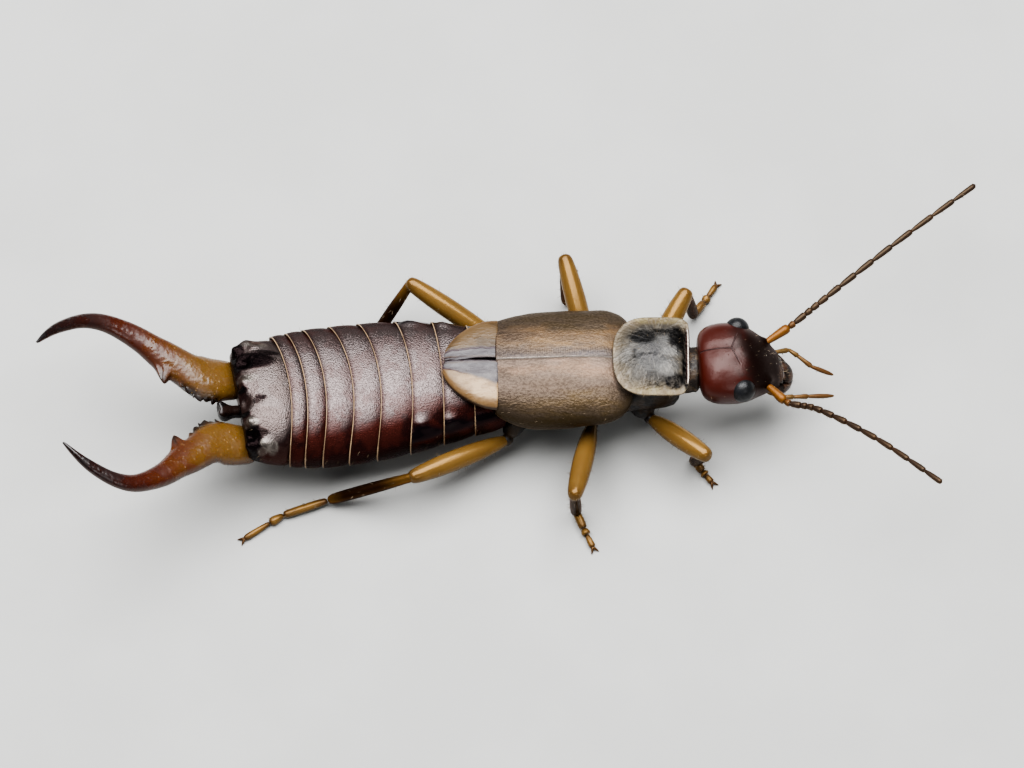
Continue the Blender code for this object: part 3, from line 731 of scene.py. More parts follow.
shieldPlan = {
    # x, y, half length and half width of each ring from the rim inwards, and its height
    "rings": (
        (3.46, 0.10, 0.950, 1.090, 2.62),
        (3.46, 0.10, 0.962, 1.105, 2.65),
        (3.46, 0.10, 0.960, 1.105, 2.675),
        (3.46, 0.10, 0.945, 1.090, 2.69),
        (3.46, 0.10, 0.920, 1.062, 2.688),
        (3.46, 0.10, 0.880, 1.015, 2.690),
        (3.46, 0.10, 0.820, 0.945, 2.706),
        (3.47, 0.10, 0.745, 0.855, 2.745),
        (3.48, 0.10, 0.655, 0.750, 2.785),
        (3.50, 0.10, 0.535, 0.615, 2.808),
        (3.52, 0.10, 0.390, 0.450, 2.820),
        (3.54, 0.10, 0.250, 0.290, 2.826),
        (3.55, 0.10, 0.110, 0.130, 2.828),
    ),
    "sides": 72,
    "powers": (6.5, 2.6),
    # dark areas: x, y, half length, half width, strength
    "spots": (
        (3.24, 0.58, 0.32, 0.19, 1.0),
        (3.74, 0.72, 0.34, 0.09, 0.9),
        (4.10, 0.50, 0.22, 0.36, 1.0),
        (4.32, -0.05, 0.10, 0.90, 1.0),
        (4.04, -0.64, 0.28, 0.21, 1.0),
        (3.56, -0.60, 0.36, 0.20, 0.6),
        (3.02, 0.12, 0.05, 0.18, 0.8),
        (3.30, 0.10, 0.34, 0.03, 0.7),
    ),
    # pale areas between them, painted highlights where the lamp's reflection falls
    "paintedHighlightPatches": (
        (3.98, 0.16, 0.24, 0.13, 0.9),
        (3.88, -0.28, 0.28, 0.22, 0.6),
        (3.70, 0.44, 0.20, 0.14, 0.4),
        (2.75, 0.10, 0.22, 0.20, 0.6),
    ),
}


def makeShield():
    shield = startFrom("pronotum", bpy.ops.mesh.primitive_circle_add, vertices=shieldPlan["sides"], radius=1.0)
    shape = bmesh.from_edit_mesh(shield.data)
    corners = sorted({(round(abs(v.co.x), 4), round(abs(v.co.y), 4)) for v in shape.verts})
    for ahead, across in corners:  # squared off in front, rounder behind
        for sign, power in zip((1, -1), shieldPlan["powers"]):
            pick(
                shield,
                lambda co: abs(abs(co.x) - ahead) < 2e-4 and abs(abs(co.y) - across) < 2e-4 and co.x * sign > -1e-4,
            )
            bpy.ops.transform.resize(
                value=(squarer(ahead, power), squarer(across, power), 1), center_override=(0, 0, 0)
            )
    pick(shield, everywhere)
    old = (0, 0, 1, 1, 0)
    for number, new in enumerate(shieldPlan["rings"]):
        if number:
            bpy.ops.mesh.extrude_region_move()
        bpy.ops.transform.translate(value=(new[0] - old[0], new[1] - old[1], new[4] - old[4]))
        middle = (new[0], new[1], new[4])
        bpy.ops.transform.resize(value=(new[2] / old[2], new[3] / old[3], 1), center_override=middle)
        old = new
    bpy.ops.mesh.edge_face_add()
    bpy.ops.mesh.poke()
    # the groove down the middle and the two low swellings in front
    for place, reach, move in (
        ((2.95, 0.10, 2.80), 0.15, (0, 0, -0.03)),
        ((3.18, 0.10, 2.82), 0.15, (0, 0, -0.03)),
        ((3.85, 0.42, 2.81), 0.34, (0, 0, 0.045)),
        ((3.85, -0.22, 2.81), 0.34, (0, 0, 0.045)),
        ((3.80, 0.10, 2.82), 0.18, (0, 0, -0.02)),
        ((4.32, 1.00, 2.69), 0.12, (0.02, 0, 0.03)),
        ((4.32, -0.80, 2.69), 0.12, (0.02, 0, 0.03)),
    ):
        pushNear(shield, place, reach, move)
    smoothed(leaveEditing(shield))
    x, y, long, wide, _ = shieldPlan["rings"][1]

    def rimward(co):
        dx, dy = (co.x - x) / long, (co.y - y) / wide
        power = shieldPlan["powers"][0 if dx > 0 else 1]
        return (abs(dx) ** power + abs(dy) ** power) ** (1 / power)

    def margin(co):
        return ease(abs(co.y - y) / wide, 0.76, 0.86) * ease(co.x, 2.7, 3.1)

    paintValues(shield, "rimward", rimward)
    paintValues(shield, "spots", patches(shieldPlan["spots"]))
    # pale marks the painted highlight patches
    paintValues(shield, "pale", patches(shieldPlan["paintedHighlightPatches"]))
    paintValues(shield, "margin", margin)
    paintValues(shield, "collar", lambda co: ease(co.x, 4.30, 4.36) * ease(0.80 - abs(co.y - 0.1), 0.0, 0.1))
    return shield


headPlan = {
    # forward, height of the axis, half width, rise, drop
    "rows": (
        (-0.02, 0.00, 0.50, 0.30, 0.32),
        (0.00, 0.00, 0.66, 0.40, 0.42),
        (0.06, 0.00, 0.84, 0.52, 0.52),
        (0.22, 0.00, 0.99, 0.60, 0.60),
        (0.50, 0.00, 1.07, 0.66, 0.64),
        (0.85, -0.01, 1.08, 0.66, 0.64),
        (1.15, -0.04, 1.02, 0.62, 0.62),
        (1.40, -0.10, 0.89, 0.54, 0.58),
        (1.62, -0.20, 0.75, 0.46, 0.52),
        (1.82, -0.34, 0.61, 0.38, 0.44),
        (1.96, -0.44, 0.50, 0.32, 0.36),
        (2.02, -0.48, 0.42, 0.26, 0.30),
    ),
    "sides": 48,
    "eyes": (1.02, 0.86, 0.16),
}


# rows in the head's own frame: forward, aside and up, then half width, rise and drop, or one size for the last two
def headLoft(name, rows, sides, power, side=1, **options):
    placed = []
    for forward, aside, up, *sizes in rows:
        sizes = (*sizes, sizes[-1], sizes[-1])[:3]
        placed.append((*inHead(forward, side * aside, up), *sizes, headYaw, 0.01))
    return ringLoft(name, placed, sides, power, **options)


def makeHead():
    rows = [(forward, 0, *rest) for forward, *rest in between(headPlan["rows"], 2)]
    head = headLoft("head", rows, headPlan["sides"], 2.3, editing=True)
    # the groove down the crown and its fork, the cheeks swelling each side of it, and the seats of the feelers
    for forward, aside, up, reach, move in (
        (0.15, 0.10, 0.55, 0.15, (0, 0, -0.02)),
        (0.35, 0.12, 0.65, 0.16, (0, 0, -0.04)),
        (0.60, 0.12, 0.65, 0.16, (0, 0, -0.045)),
        (0.82, 0.12, 0.62, 0.16, (0, 0, -0.04)),
        (0.98, -0.12, 0.58, 0.14, (0, 0, -0.03)),
        (0.98, 0.30, 0.58, 0.14, (0, 0, -0.015)),
        (0.60, 0.42, 0.60, 0.26, (0, 0, -0.02)),
        (0.55, -0.32, 0.62, 0.42, (0, -0.02, 0.045)),
        (1.06, -0.02, 0.55, 0.16, (0, 0, 0.02)),
        (1.30, 0.0, 0.45, 0.26, (0, 0, 0.03)),
        (1.66, 0.54, 0.02, 0.20, (0.06, 0.05, 0.10)),
        (1.66, -0.54, 0.02, 0.20, (0.06, -0.05, 0.10)),
    ):
        pushNear(head, inHead(forward, aside, up), reach, move)
    smoothed(leaveEditing(head))
    paintValues(head, "forward", lambda co: turnedAbout(co, headBase.x, headBase.y, headYaw)[0])
    paintValues(head, "aside", lambda co: turnedAbout(co, headBase.x, headBase.y, headYaw)[1] - 0.10)
    return head


def makeEye(side):
    sign = sideSigns[side]
    eye = startFrom(f"eye_{side}", bpy.ops.mesh.primitive_uv_sphere_add, segments=48, ring_count=32, radius=1.0)
    bpy.ops.transform.resize(value=(0.31, 0.29, 0.33), center_override=(0, 0, 0))
    turnPicked(headYaw - sign * 12, "Z", (0, 0, 0))
    bpy.ops.transform.translate(value=inHead(headPlan["eyes"][0], sign * headPlan["eyes"][1], headPlan["eyes"][2]))
    return leaveEditing(eye)


feelerPlan = {
    "thick": (0.090, 0.068),
    # the long first joint, the small second one, then the whip's joints growing longer
    "lengths": (0.78, 0.15, 0.30, 0.17, 0.19, 0.26, 0.36, 0.43, 0.48, 0.52, 0.55, 0.57, 0.58, 0.58),
    # share of the joint's length, and half thickness in millimetres or as a share of the whip's
    "firstJoint": ((0.0, 0.05), (0.06, 0.075), (0.2, 0.085), (0.5, 0.105), (0.85, 0.125), (0.96, 0.11), (1.0, 0.06)),
    "whipJoint": ((-0.02, 0.50), (0.03, 0.64), (0.22, 0.88), (0.5, 1.0), (0.85, 1.06), (0.96, 0.92), (1.0, 0.5)),
    "paths": {
        "left": (
            (6.28, 0.72, 2.16),
            (6.98, 1.20, 2.25),
            (8.15, 2.15, 2.45),
            (9.85, 3.50, 2.70),
            (11.66, 4.88, 2.88),
        ),
        "right": (
            (6.28, -0.30, 2.04),
            (6.84, -0.92, 2.14),
            (7.60, -1.28, 2.45),
            (9.00, -2.45, 3.10),
            (10.48, -3.98, 3.76),
        ),
    },
}


def walk(path, count=400):
    line = [Vector(p) for p in between(path, count // (len(path) - 1))]
    lengths = [0.0]
    for a, b in zip(line, line[1:]):
        lengths.append(lengths[-1] + (b - a).length)

    def at(distance):
        distance = max(0.0, min(distance, lengths[-1]))
        low = max(k for k, far in enumerate(lengths[:-1]) if far <= distance)
        share = (distance - lengths[low]) / max(lengths[low + 1] - lengths[low], 1e-9)
        return line[low].lerp(line[low + 1], share)

    return at, lengths[-1]


# a straight joint made along X and stood between two points: sizes are shares of its length and half thicknesses
def joint(name, start, end, sizes, sides, dusk=None, length=None):
    length = length or (end - start).length
    piece = ringLoft(name, [(length * share, 0, 0, size, size, size) for share, size in sizes], sides)
    if dusk:
        paintValues(piece, "dusk", lambda co: dusk(co.x / length))
    ahead = (end - start).normalized()
    side = Vector((0, 0, 1)).cross(ahead).normalized()
    turn = Matrix((ahead, side, ahead.cross(side))).transposed()
    piece.matrix_world = Matrix.Translation(start) @ turn.to_4x4()
    return piece


def makeFeeler(side):
    at, whole = walk(feelerPlan["paths"][side])
    pieces = []
    lengths = feelerPlan["lengths"]
    thickRoot, thickTip = feelerPlan["thick"]
    scale = (whole - lengths[0]) / sum(lengths[1:])
    start = 0.0
    for number, share in enumerate(lengths):
        length = share * scale if number else share
        end = start + length
        sizes = feelerPlan["firstJoint"]
        if number:
            thick = thickRoot + (thickTip - thickRoot) * start / whole
            sizes = [(place, thick * part) for place, part in feelerPlan["whipJoint"]]
        tone = (0.0, 0.55)[number] if number < 2 else 0.95
        dusk = lambda along: tone - 0.12 * ease(along, 0.86, 1.0)
        pieces.append(joint(f"feelerJoint{number}", at(start), at(end), sizes, 14, dusk, length))
        start = end
    return joined(f"antenna_{side}", pieces)


# base, knee, ankle, middle of the foot and toe
legPlan = {
    "front_left": (
        (3.46, 0.90, 0.98),
        (4.43, 2.50, 1.80),
        (4.60, 2.61, 0.22),
        (4.88, 3.02, 0.13),
        (5.19, 3.53, 0.08),
    ),
    "front_right": (
        (3.48, -0.76, 0.97),
        (4.91, -2.13, 1.50),
        (4.57, -1.56, 0.22),
        (4.79, -1.83, 0.13),
        (5.01, -2.10, 0.08),
    ),
    "middle_left": (
        (1.98, 1.06, 0.88),
        (1.30, 3.43, 1.90),
        (1.38, 3.02, 0.22),
        (1.46, 3.42, 0.13),
        (1.56, 3.90, 0.08),
    ),
    "middle_right": (
        (2.00, -0.90, 0.88),
        (1.53, -3.45, 1.88),
        (1.60, -2.98, 0.22),
        (1.80, -3.44, 0.13),
        (2.02, -3.92, 0.08),
    ),
    "hind_left": (
        (-0.10, 1.38, 0.71),
        (-2.65, 2.73, 1.79),
        (-3.50, 1.95, 0.22),
        (-4.36, 1.86, 0.13),
        (-5.20, 1.76, 0.08),
    ),
    "hind_right": (
        (-0.14, -1.27, 0.80),
        (-2.55, -2.66, 1.40),
        (-4.62, -2.68, 0.22),
        (-5.76, -3.06, 0.13),
        (-6.68, -3.68, 0.08),
    ),
}

# share of a joint's length and half thickness there
legSizes = {
    "coxa": ((0.0, 0.2), (0.1, 0.30), (0.45, 0.33), (0.7, 0.28), (0.85, 0.20), (0.93, 0.13)),
    "trochanter": ((0.0, 0.08), (0.15, 0.13), (0.5, 0.17), (0.85, 0.15), (1.0, 0.08)),
    "femur": (
        (-0.02, 0.07),
        (0.0, 0.12),
        (0.05, 0.16),
        (0.15, 0.21),
        (0.3, 0.25),
        (0.5, 0.27),
        (0.7, 0.26),
        (0.88, 0.22),
        (0.96, 0.19),
        (0.99, 0.14),
        (1.0, 0.07),
    ),
    "tibia": (
        (-0.05, 0.04),
        (-0.03, 0.10),
        (0.02, 0.13),
        (0.10, 0.125),
        (0.25, 0.14),
        (0.5, 0.155),
        (0.8, 0.15),
        (0.95, 0.145),
        (1.0, 0.12),
        (1.02, 0.06),
    ),
    "foot": (
        ((0.0, 0.05), (0.03, 0.09), (0.3, 0.11), (0.9, 0.115), (0.97, 0.09), (1.0, 0.05)),
        ((0.0, 0.04), (0.1, 0.08), (0.6, 0.125), (0.9, 0.12), (1.0, 0.05)),
        ((0.0, 0.04), (0.06, 0.065), (0.5, 0.08), (0.92, 0.095), (1.0, 0.05)),
    ),
    "claw": ((0.0, 0.045), (0.3, 0.045), (0.7, 0.03), (1.0, 0.008)),
}
# how dark the band on the shin gets
shinBands = {"hind": 1.0, "middle": 0.35, "front": 0.3}


def makeLeg(name):
    base, knee, ankle, middle, toe = (Vector(p) for p in legPlan[name])
    away = (knee - base).normalized()
    band = shinBands[name.split("_")[0]]
    femur = joint(
        f"femur_{name}", base, knee, legSizes["femur"], 20, lambda along: 0.15 + 0.35 * ease(along, 0.86, 0.98)
    )
    shin = joint(
        f"tibia_{name}",
        knee - away * 0.12,
        ankle,
        legSizes["tibia"],
        18,
        lambda along: 0.1 + band * ease(along, 0.12, 0.4) * ease(1.05 - along, 0.0, 0.25),
        (ankle - knee).length,
    )
    foot = []
    line = (ankle, ankle.lerp(middle, 0.96), middle + (toe - middle) * 0.32, toe)
    for number, (sizes, start, end) in enumerate(zip(legSizes["foot"], line, line[1:])):
        dusk = lambda along: 0.3 + 0.6 * ease(abs(along - 0.5), 0.3, 0.5)
        foot.append(joint(f"footJoint{number}", start, end, sizes, 14, dusk))
    out = (toe - middle).normalized()
    across = Vector((-out.y, out.x, 0)).normalized()
    for sign in (1, -1):
        tip = toe + out * 0.17 + across * sign * 0.12
        tip.z = 0.02
        foot.append(joint(f"claw{sign}", toe - out * 0.02, tip, legSizes["claw"], 8, lambda along: 0.9, 0.2))
    return femur, shin, joined(f"foot_{name}", foot)


def makeTrunk():
    rows = (
        (-0.66, 0.06, 1.52, 0.55, 0.36, 0.44),
        (-0.22, 0.06, 1.54, 0.80, 0.47, 0.58),
        (-0.12, 0.06, 1.55, 0.86, 0.50, 0.62),
        (0.20, 0.06, 1.55, 1.04, 0.68, 0.80),
        (1.20, 0.08, 1.55, 1.08, 0.72, 0.82),
        (2.00, 0.09, 1.55, 0.98, 0.70, 0.82),
        (2.80, 0.10, 1.55, 0.88, 0.56, 0.78),
        (3.04, 0.10, 1.57, 0.84, 0.60, 0.75),
        (3.10, 0.10, 1.58, 0.84, 0.96, 0.75),
        (3.28, 0.10, 1.60, 0.84, 1.01, 0.74),
        (3.90, 0.11, 1.62, 0.82, 0.99, 0.66),
        (4.22, 0.12, 1.65, 0.72, 0.86, 0.48),
    )
    trunk = ringLoft("trunk", rows, 40, 2.25)
    parts = [trunk]
    for name, points in legPlan.items():
        base, out = Vector(points[0]), (Vector(points[1]) - Vector(points[0])).normalized()
        inner = Vector((base.x - out.x * 0.6, 0.08 + (base.y - 0.08) * 0.3, 1.15))
        parts.append(joint(f"coxa_{name}", inner, base, legSizes["coxa"], 20))
        start, end = base - out * 0.16, base + out * 0.10
        parts.append(joint(f"trochanter_{name}", start, end, legSizes["trochanter"], 16, length=0.26))
    return joined("trunk", parts)


def makeNeck():
    rows = (
        (4.20, 0.12, 1.86, 0.50, 0.38, 0.38),
        (4.30, 0.12, 1.88, 0.60, 0.50, 0.40),
        (4.40, 0.12, 1.90, 0.62, 0.50, 0.42),
        (4.50, 0.12, 1.90, 0.56, 0.44, 0.40),
        (4.58, 0.12, 1.92, 0.60, 0.46, 0.40),
        (4.70, 0.12, 1.95, 0.56, 0.40, 0.36),
    )
    return ringLoft("neck", rows, 32, 2.3)


mouthPlan = {
    # the broad face plate and the lips below it
    "middle": {
        "facePlate": (
            (1.84, 0, -0.38, 0.40, 0.15, 0.30),
            (1.98, 0, -0.46, 0.41, 0.17, 0.28),
            (2.08, 0, -0.54, 0.38, 0.15, 0.24),
            (2.12, 0, -0.58, 0.33, 0.10, 0.16),
        ),
        "upperLip": (
            (2.06, 0, -0.58, 0.26, 0.10, 0.16),
            (2.16, 0, -0.62, 0.31, 0.12, 0.15),
            (2.27, 0, -0.70, 0.28, 0.10, 0.12),
            (2.36, 0, -0.78, 0.19, 0.07, 0.08),
            (2.39, 0, -0.82, 0.10, 0.03, 0.04),
        ),
        "lowerLip": (
            (1.80, 0, -0.82, 0.22, 0.10, 0.08),
            (2.05, 0, -0.92, 0.26, 0.10, 0.08),
            (2.25, 0, -0.98, 0.18, 0.07, 0.06),
            (2.32, 0, -1.00, 0.08, 0.03, 0.03),
        ),
    },
    # the blunt jaws each side
    "jaw": (
        (1.78, 0.46, -0.62, 0.10, 0.16),
        (1.95, 0.48, -0.70, 0.13, 0.17),
        (2.10, 0.42, -0.78, 0.12, 0.14),
        (2.24, 0.30, -0.86, 0.10, 0.11),
        (2.34, 0.17, -0.92, 0.07, 0.07),
        (2.38, 0.08, -0.94, 0.03, 0.03),
    ),
    "innerJaw": (
        (1.80, 0.34, -0.92, 0.07),
        (2.00, 0.34, -0.98, 0.075),
        (2.20, 0.24, -1.02, 0.05),
        (2.30, 0.18, -1.04, 0.02),
    ),
}


def makeMouth():
    parts = []
    for name, rows in mouthPlan["middle"].items():
        parts.append(headLoft(name, rows, 20 if name == "lowerLip" else 28, 2.4))
    for side in (1, -1):
        parts.append(headLoft(f"jaw{side}", mouthPlan["jaw"], 18, 2.2, side))
        parts.append(headLoft(f"innerJaw{side}", mouthPlan["innerJaw"], 12, 2.0, side))
    return joined("mouthparts", parts)


palpPlan = {
    "left": (
        (6.40, 0.80, 1.52),
        (6.95, 0.96, 1.40),
        (7.18, 0.82, 1.33),
        (7.52, 0.58, 1.22),
        (8.07, 0.46, 1.00),
    ),
    "right": (
        (6.40, -0.30, 1.50),
        (6.80, -0.36, 1.38),
        (7.05, -0.32, 1.30),
        (7.42, -0.25, 1.20),
        (8.07, -0.14, 1.02),
    ),
    "joint": ((-0.03, 0.035), (0.04, 0.048), (0.5, 0.058), (0.88, 0.070), (1.0, 0.045)),
    "lastJoint": ((-0.03, 0.035), (0.06, 0.050), (0.4, 0.062), (0.75, 0.056), (0.95, 0.035), (1.0, 0.018)),
}


def makePalp(side):
    points = [Vector(p) for p in palpPlan[side]]
    parts = []
    for number, (start, end) in enumerate(zip(points, points[1:])):
        sizes = palpPlan["lastJoint" if number == 3 else "joint"]
        parts.append(joint(f"palpJoint{number}", start, end, sizes, 12, lambda along: 0.15 + 0.22 * number))
    return joined(f"palp_{side}", parts)


# hairs of each kind of piece: how many, how long, how upright, which way they lie and where they grow
coatPlans = {
    "upperPlate": (16, 0.13, 0.7, (-1, 0, 0), lambda place, normal: abs(normal.z) < 0.55 and abs(normal.y) > 0.7),
    "underside": (150, 0.12, 0.4, (-1, 0, 0), lambda place, normal: normal.z < -0.2),
    "lastRing": (46, 0.12, 0.7, (-1, 0, 0), lambda place, normal: normal.z < 0.45 and abs(normal.x) < 0.6),
    "pincer": (60, 0.08, 0.8, (-1, 0, 0), lambda place, normal: place.x > -9.0 and abs(normal.z) < 0.8),
    "wingCover": (110, 0.075, 0.2, (-1, 0, 0), lambda place, normal: normal.z > 0.15 and place.z > 1.9),
    "wingPacket": (30, 0.06, 0.3, (-1, 0, 0), lambda place, normal: normal.z > 0.3),
    "pronotum": (120, 0.075, 0.2, None, lambda place, normal: normal.z > -0.3),
    "head": (70, 0.07, 0.9, (1, 0, -0.3), lambda place, normal: normal.z > -0.6 and place.x > 4.9),
    "mouthparts": (90, 0.13, 0.8, (1, 0, -0.2), lambda place, normal: normal.x > -0.2),
    "neck": (60, 0.11, 0.5, (1, 0, 0), lambda place, normal: abs(normal.x) < 0.8),
    "trunk": (110, 0.13, 0.6, (-1, 0, -0.3), lambda place, normal: normal.z < 0.2 and abs(normal.x) < 0.8),
    "antenna": (150, 0.065, 0.9, None, lambda place, normal: True),
    "palp": (40, 0.06, 0.9, (1, 0, 0), lambda place, normal: True),
    "femur": (50, 0.12, 0.8, None, lambda place, normal: abs(normal.z) < 0.6),
    "tibia": (45, 0.12, 0.8, None, lambda place, normal: place.z > 0.34),
    "foot": (60, 0.09, 0.6, None, lambda place, normal: place.z > 0.17 and normal.z > -0.5),
}


# a piece and its hairs, settled together
def dress(piece, replaced, flow=None):
    for start, (count, length, lift, lie, where) in coatPlans.items():
        if piece.name.startswith(start):
            outward = lambda place: (place.x - 3.6, place.y - 0.1, 0)
            lean = outward if start == "pronotum" else lambda place: flow or lie
            seed = sum(ord(letter) for letter in piece.name)
            bpy.context.view_layer.update()
            coat = bristleCoat(f"bristles_{piece.name}", piece, count, length, lean, where, 0.0045, lift, seed)
            settle(coat, ())
            break
    return settle(piece, replaced)


plates, underside = makeAbdomen()
for plate in plates:
    dress(plate, ("abdomen",))
dress(underside, ())
dress(makeLastRing(), ("last_segment",))
settle(makeTailKnob(), ("pygidium",))
print("abdomen made")
for side, path in feelerPlan["paths"].items():
    dress(makePincer(side), (f"forceps_{side}",))
    dress(makeWingCover(side), (f"wing_cover_{side}",))
    dress(makeWingPacket(side), (f"wing_packet_{side}",))
    settle(makeEye(side), (f"eye_{side}",))
    dress(makeFeeler(side), (f"antenna_{side}",), Vector(path[-1]) - Vector(path[0]))
    dress(makePalp(side), (f"palp_{side}",))
dress(makeShield(), ("pronotum",))
dress(makeHead(), ("head",))
dress(smoothed(makeNeck()), ("neck",))
dress(smoothed(makeTrunk()), ("thorax",))
dress(smoothed(makeMouth()), ("mouthparts",))
print("body made")
for name, (base, knee, ankle, middle, toe) in legPlan.items():
    femur, shin, foot = makeLeg(name)
    dress(smoothed(femur), (f"femur_{name}",), Vector(knee) - Vector(base))
    dress(smoothed(shin), (f"tibia_{name}",), Vector(ankle) - Vector(knee))
    dress(smoothed(foot), (f"tarsus_{name}",), Vector(toe) - Vector(middle))
print("pieces made")


# a value that varies over a surface: sums, products and ramps of it add their nodes to its tree
class Mask:
    def __init__(self, tree, socket):
        self.tree, self.socket = tree, socket

    def reckon(self, operation, other=0.5, swapped=False):
        first, second = (other, self) if swapped else (self, other)
        return self.tree.add("ShaderNodeMath", {0: first, 1: second}, operation=operation)

    def __add__(self, other):
        return self.reckon("ADD", other)

    def __sub__(self, other):
        return self.reckon("SUBTRACT", other)

    def __rsub__(self, other):
        return self.reckon("SUBTRACT", other, swapped=True)

    def __mul__(self, other):
        return self.reckon("MULTIPLY", other)

    def __truediv__(self, other):
        return self.reckon("DIVIDE", other)

    def __rtruediv__(self, other):
        return self.reckon("DIVIDE", other, swapped=True)

    def __abs__(self):
        return self.reckon("ABSOLUTE")

    def most(self, other):
        return self.reckon("MAXIMUM", other)

    def rise(self, low, high, top=1.0, bottom=0.0, smooth="SMOOTHSTEP"):
        sockets = {0: self, 1: low, 2: high, 3: bottom, 4: top}
        return self.tree.add("ShaderNodeMapRange", sockets, interpolation_type=smooth)

    def fade(self, low, high, top=1.0, bottom=0.0):
        return self.rise(low, high, bottom, top)

    def span(self, bottom, top):
        return self.rise(0.0, 1.0, top, bottom)


# a node tree with short ways to add to it; colours go by their names among its tones
class Tree:
    def __init__(self, nodeTree, tones=()):
        self.nodeTree, self.tones = nodeTree, dict(tones)

    def plug(self, target, source):
        if isinstance(source, Mask):
            self.nodeTree.links.new(source.socket, target)
        elif isinstance(source, str):
            target.default_value = (*self.tones[source], 1)
        elif target.type == "RGBA":
            target.default_value = (*source, 1)
        else:
            target.default_value = source

    def add(self, kind, sockets=(), outputs=0, **settings):
        node = self.nodeTree.nodes.new(kind)
        for key, value in settings.items():
            setattr(node, key, value)
        for key, value in dict(sockets).items():
            self.plug(node.inputs[key], value)
        if isinstance(outputs, tuple):
            return [Mask(self, node.outputs[key]) for key in outputs]
        return Mask(self, node.outputs[outputs])

    def blend(self, share, first, second):
        sockets = {"Factor": share, 6: first, 7: second}
        return self.add("ShaderNodeMix", sockets, 2, data_type="RGBA", blend_type="MIX")

    def lay(self, colour, **layers):  # tones laid over one another, each where its mask is one
        for tone, mask in layers.items():
            colour = self.blend(mask, colour, tone)
        return colour

    def stops(self, value, colours):
        ramp = self.nodeTree.nodes.new("ShaderNodeValToRGB")
        self.plug(ramp.inputs[0], value)
        marks = ramp.color_ramp.elements
        while len(marks) < len(colours):
            marks.new(0.5)
        for mark, (place, colour) in zip(marks, colours):
            mark.position = place
            mark.color = (*colour, 1)
        return Mask(self, ramp.outputs[0])

    def painted(self, *names):
        found = [self.add("ShaderNodeAttribute", (), "Fac", attribute_name=name) for name in names]
        return found if len(names) > 1 else found[0]

    def millimetres(self, stretch=(1, 1, 1)):
        place = self.add("ShaderNodeTexCoord", (), "Object")
        return self.add("ShaderNodeMapping", {"Vector": place, "Scale": [1000 * part for part in stretch]})

    def split(self, vector):
        return self.add("ShaderNodeSeparateXYZ", {0: vector}, (0, 1, 2))

    def facing(self):  # how far the surface faces ahead, to the left and up
        return self.split(self.add("ShaderNodeNewGeometry", (), "Normal"))

    def noise(self, place, scale, detail, **sockets):
        return self.add("ShaderNodeTexNoise", {"Vector": place, "Scale": scale, "Detail": detail, **sockets})

    def use(self, group, outputs, **sockets):
        return self.add("ShaderNodeGroup", sockets, outputs, node_tree=group)

    def grain(self, grains, stretch=(1.0, 1.0, 1.0)):
        return self.use(shellGrain, ("Height", "Fleck"), Grains=grains, Stretch=stretch)

    def drift(self, size, contrast=0.5, stretch=(1.0, 1.0, 1.0)):
        return self.use(toneDrift, "Mask", Size=size, Contrast=contrast, Stretch=stretch)

    def pits(self, pits, width):
        return self.use(hairPits, "Pits", Pits=pits, Width=width)


class Finish(Tree):
    def __init__(self, name, roughness, tones=(), **sockets):
        self.paint = bpy.data.materials.new(name)
        self.paint.use_nodes = True
        super().__init__(self.paint.node_tree, tones)
        self.wear(Roughness=roughness, **sockets)

    def wear(self, **sockets):
        shader = self.nodeTree.nodes["Principled BSDF"]
        for name, value in sockets.items():
            self.plug(shader.inputs[name.replace("_", " ")], value)

    def relief(self, height, strength, depth):
        sockets = {"Height": height, "Strength": strength, "Distance": depth * toMetres}
        self.wear(Normal=self.add("ShaderNodeBump", sockets))
        return self.paint


def groupOf(name, build, **inputs):
    group = bpy.data.node_groups.new(name, "ShaderNodeTree")
    for socket, value in inputs.items():
        kind = "NodeSocketVector" if isinstance(value, tuple) else "NodeSocketFloat"
        group.interface.new_socket(socket, in_out="INPUT", socket_type=kind).default_value = value
    tree = Tree(group)
    results = build(tree, *tree.add("NodeGroupInput", (), tuple(inputs)))
    for socket in results:
        group.interface.new_socket(socket, in_out="OUTPUT", socket_type="NodeSocketFloat")
    tree.add("NodeGroupOutput", results, ())
    return group


# pebbled shell relief: Height for bump, Fleck where a grain catches light
def grainNodes(tree, grains, stretch):
    place = tree.add("ShaderNodeVectorMath", {0: tree.millimetres(), 1: stretch}, operation="MULTIPLY")
    cells = {"Vector": place, "Scale": grains * 1.1}
    high = tree.add("ShaderNodeTexVoronoi", cells, "Distance", feature="SMOOTH_F1") * -0.6
    high = high + tree.noise(place, grains, 1.0)
    return {"Height": high, "Fleck": high.rise(0.10, 0.36)}


# slow drifts of tone, as colour lies unevenly in horn and skin
def driftNodes(tree, size, stretch, contrast):
    place = tree.add("ShaderNodeVectorMath", {0: tree.millimetres(), 1: stretch}, operation="MULTIPLY")
    top = contrast * -0.25 + 0.75
    return {"Mask": tree.noise(place, 1.0 / size, 4.0, Roughness=0.55).rise(1.0 - top, top)}


# scattered pits, each the root of a small hair: Pits is one in a pit
def pitNodes(tree, pits, width):
    cells = tree.add("ShaderNodeTexVoronoi", {"Vector": tree.millimetres(), "Scale": pits}, "Distance")
    return {"Pits": (width - cells).rise(0.0, 0.05)}


shellGrain = groupOf("shellGrain", grainNodes, Grains=16.0, Stretch=(1.0, 1.0, 1.0))
toneDrift = groupOf("toneDrift", driftNodes, Size=0.6, Stretch=(1.0, 1.0, 1.0), Contrast=0.5)
hairPits = groupOf("hairPits", pitNodes, Pits=6.0, Width=0.12)


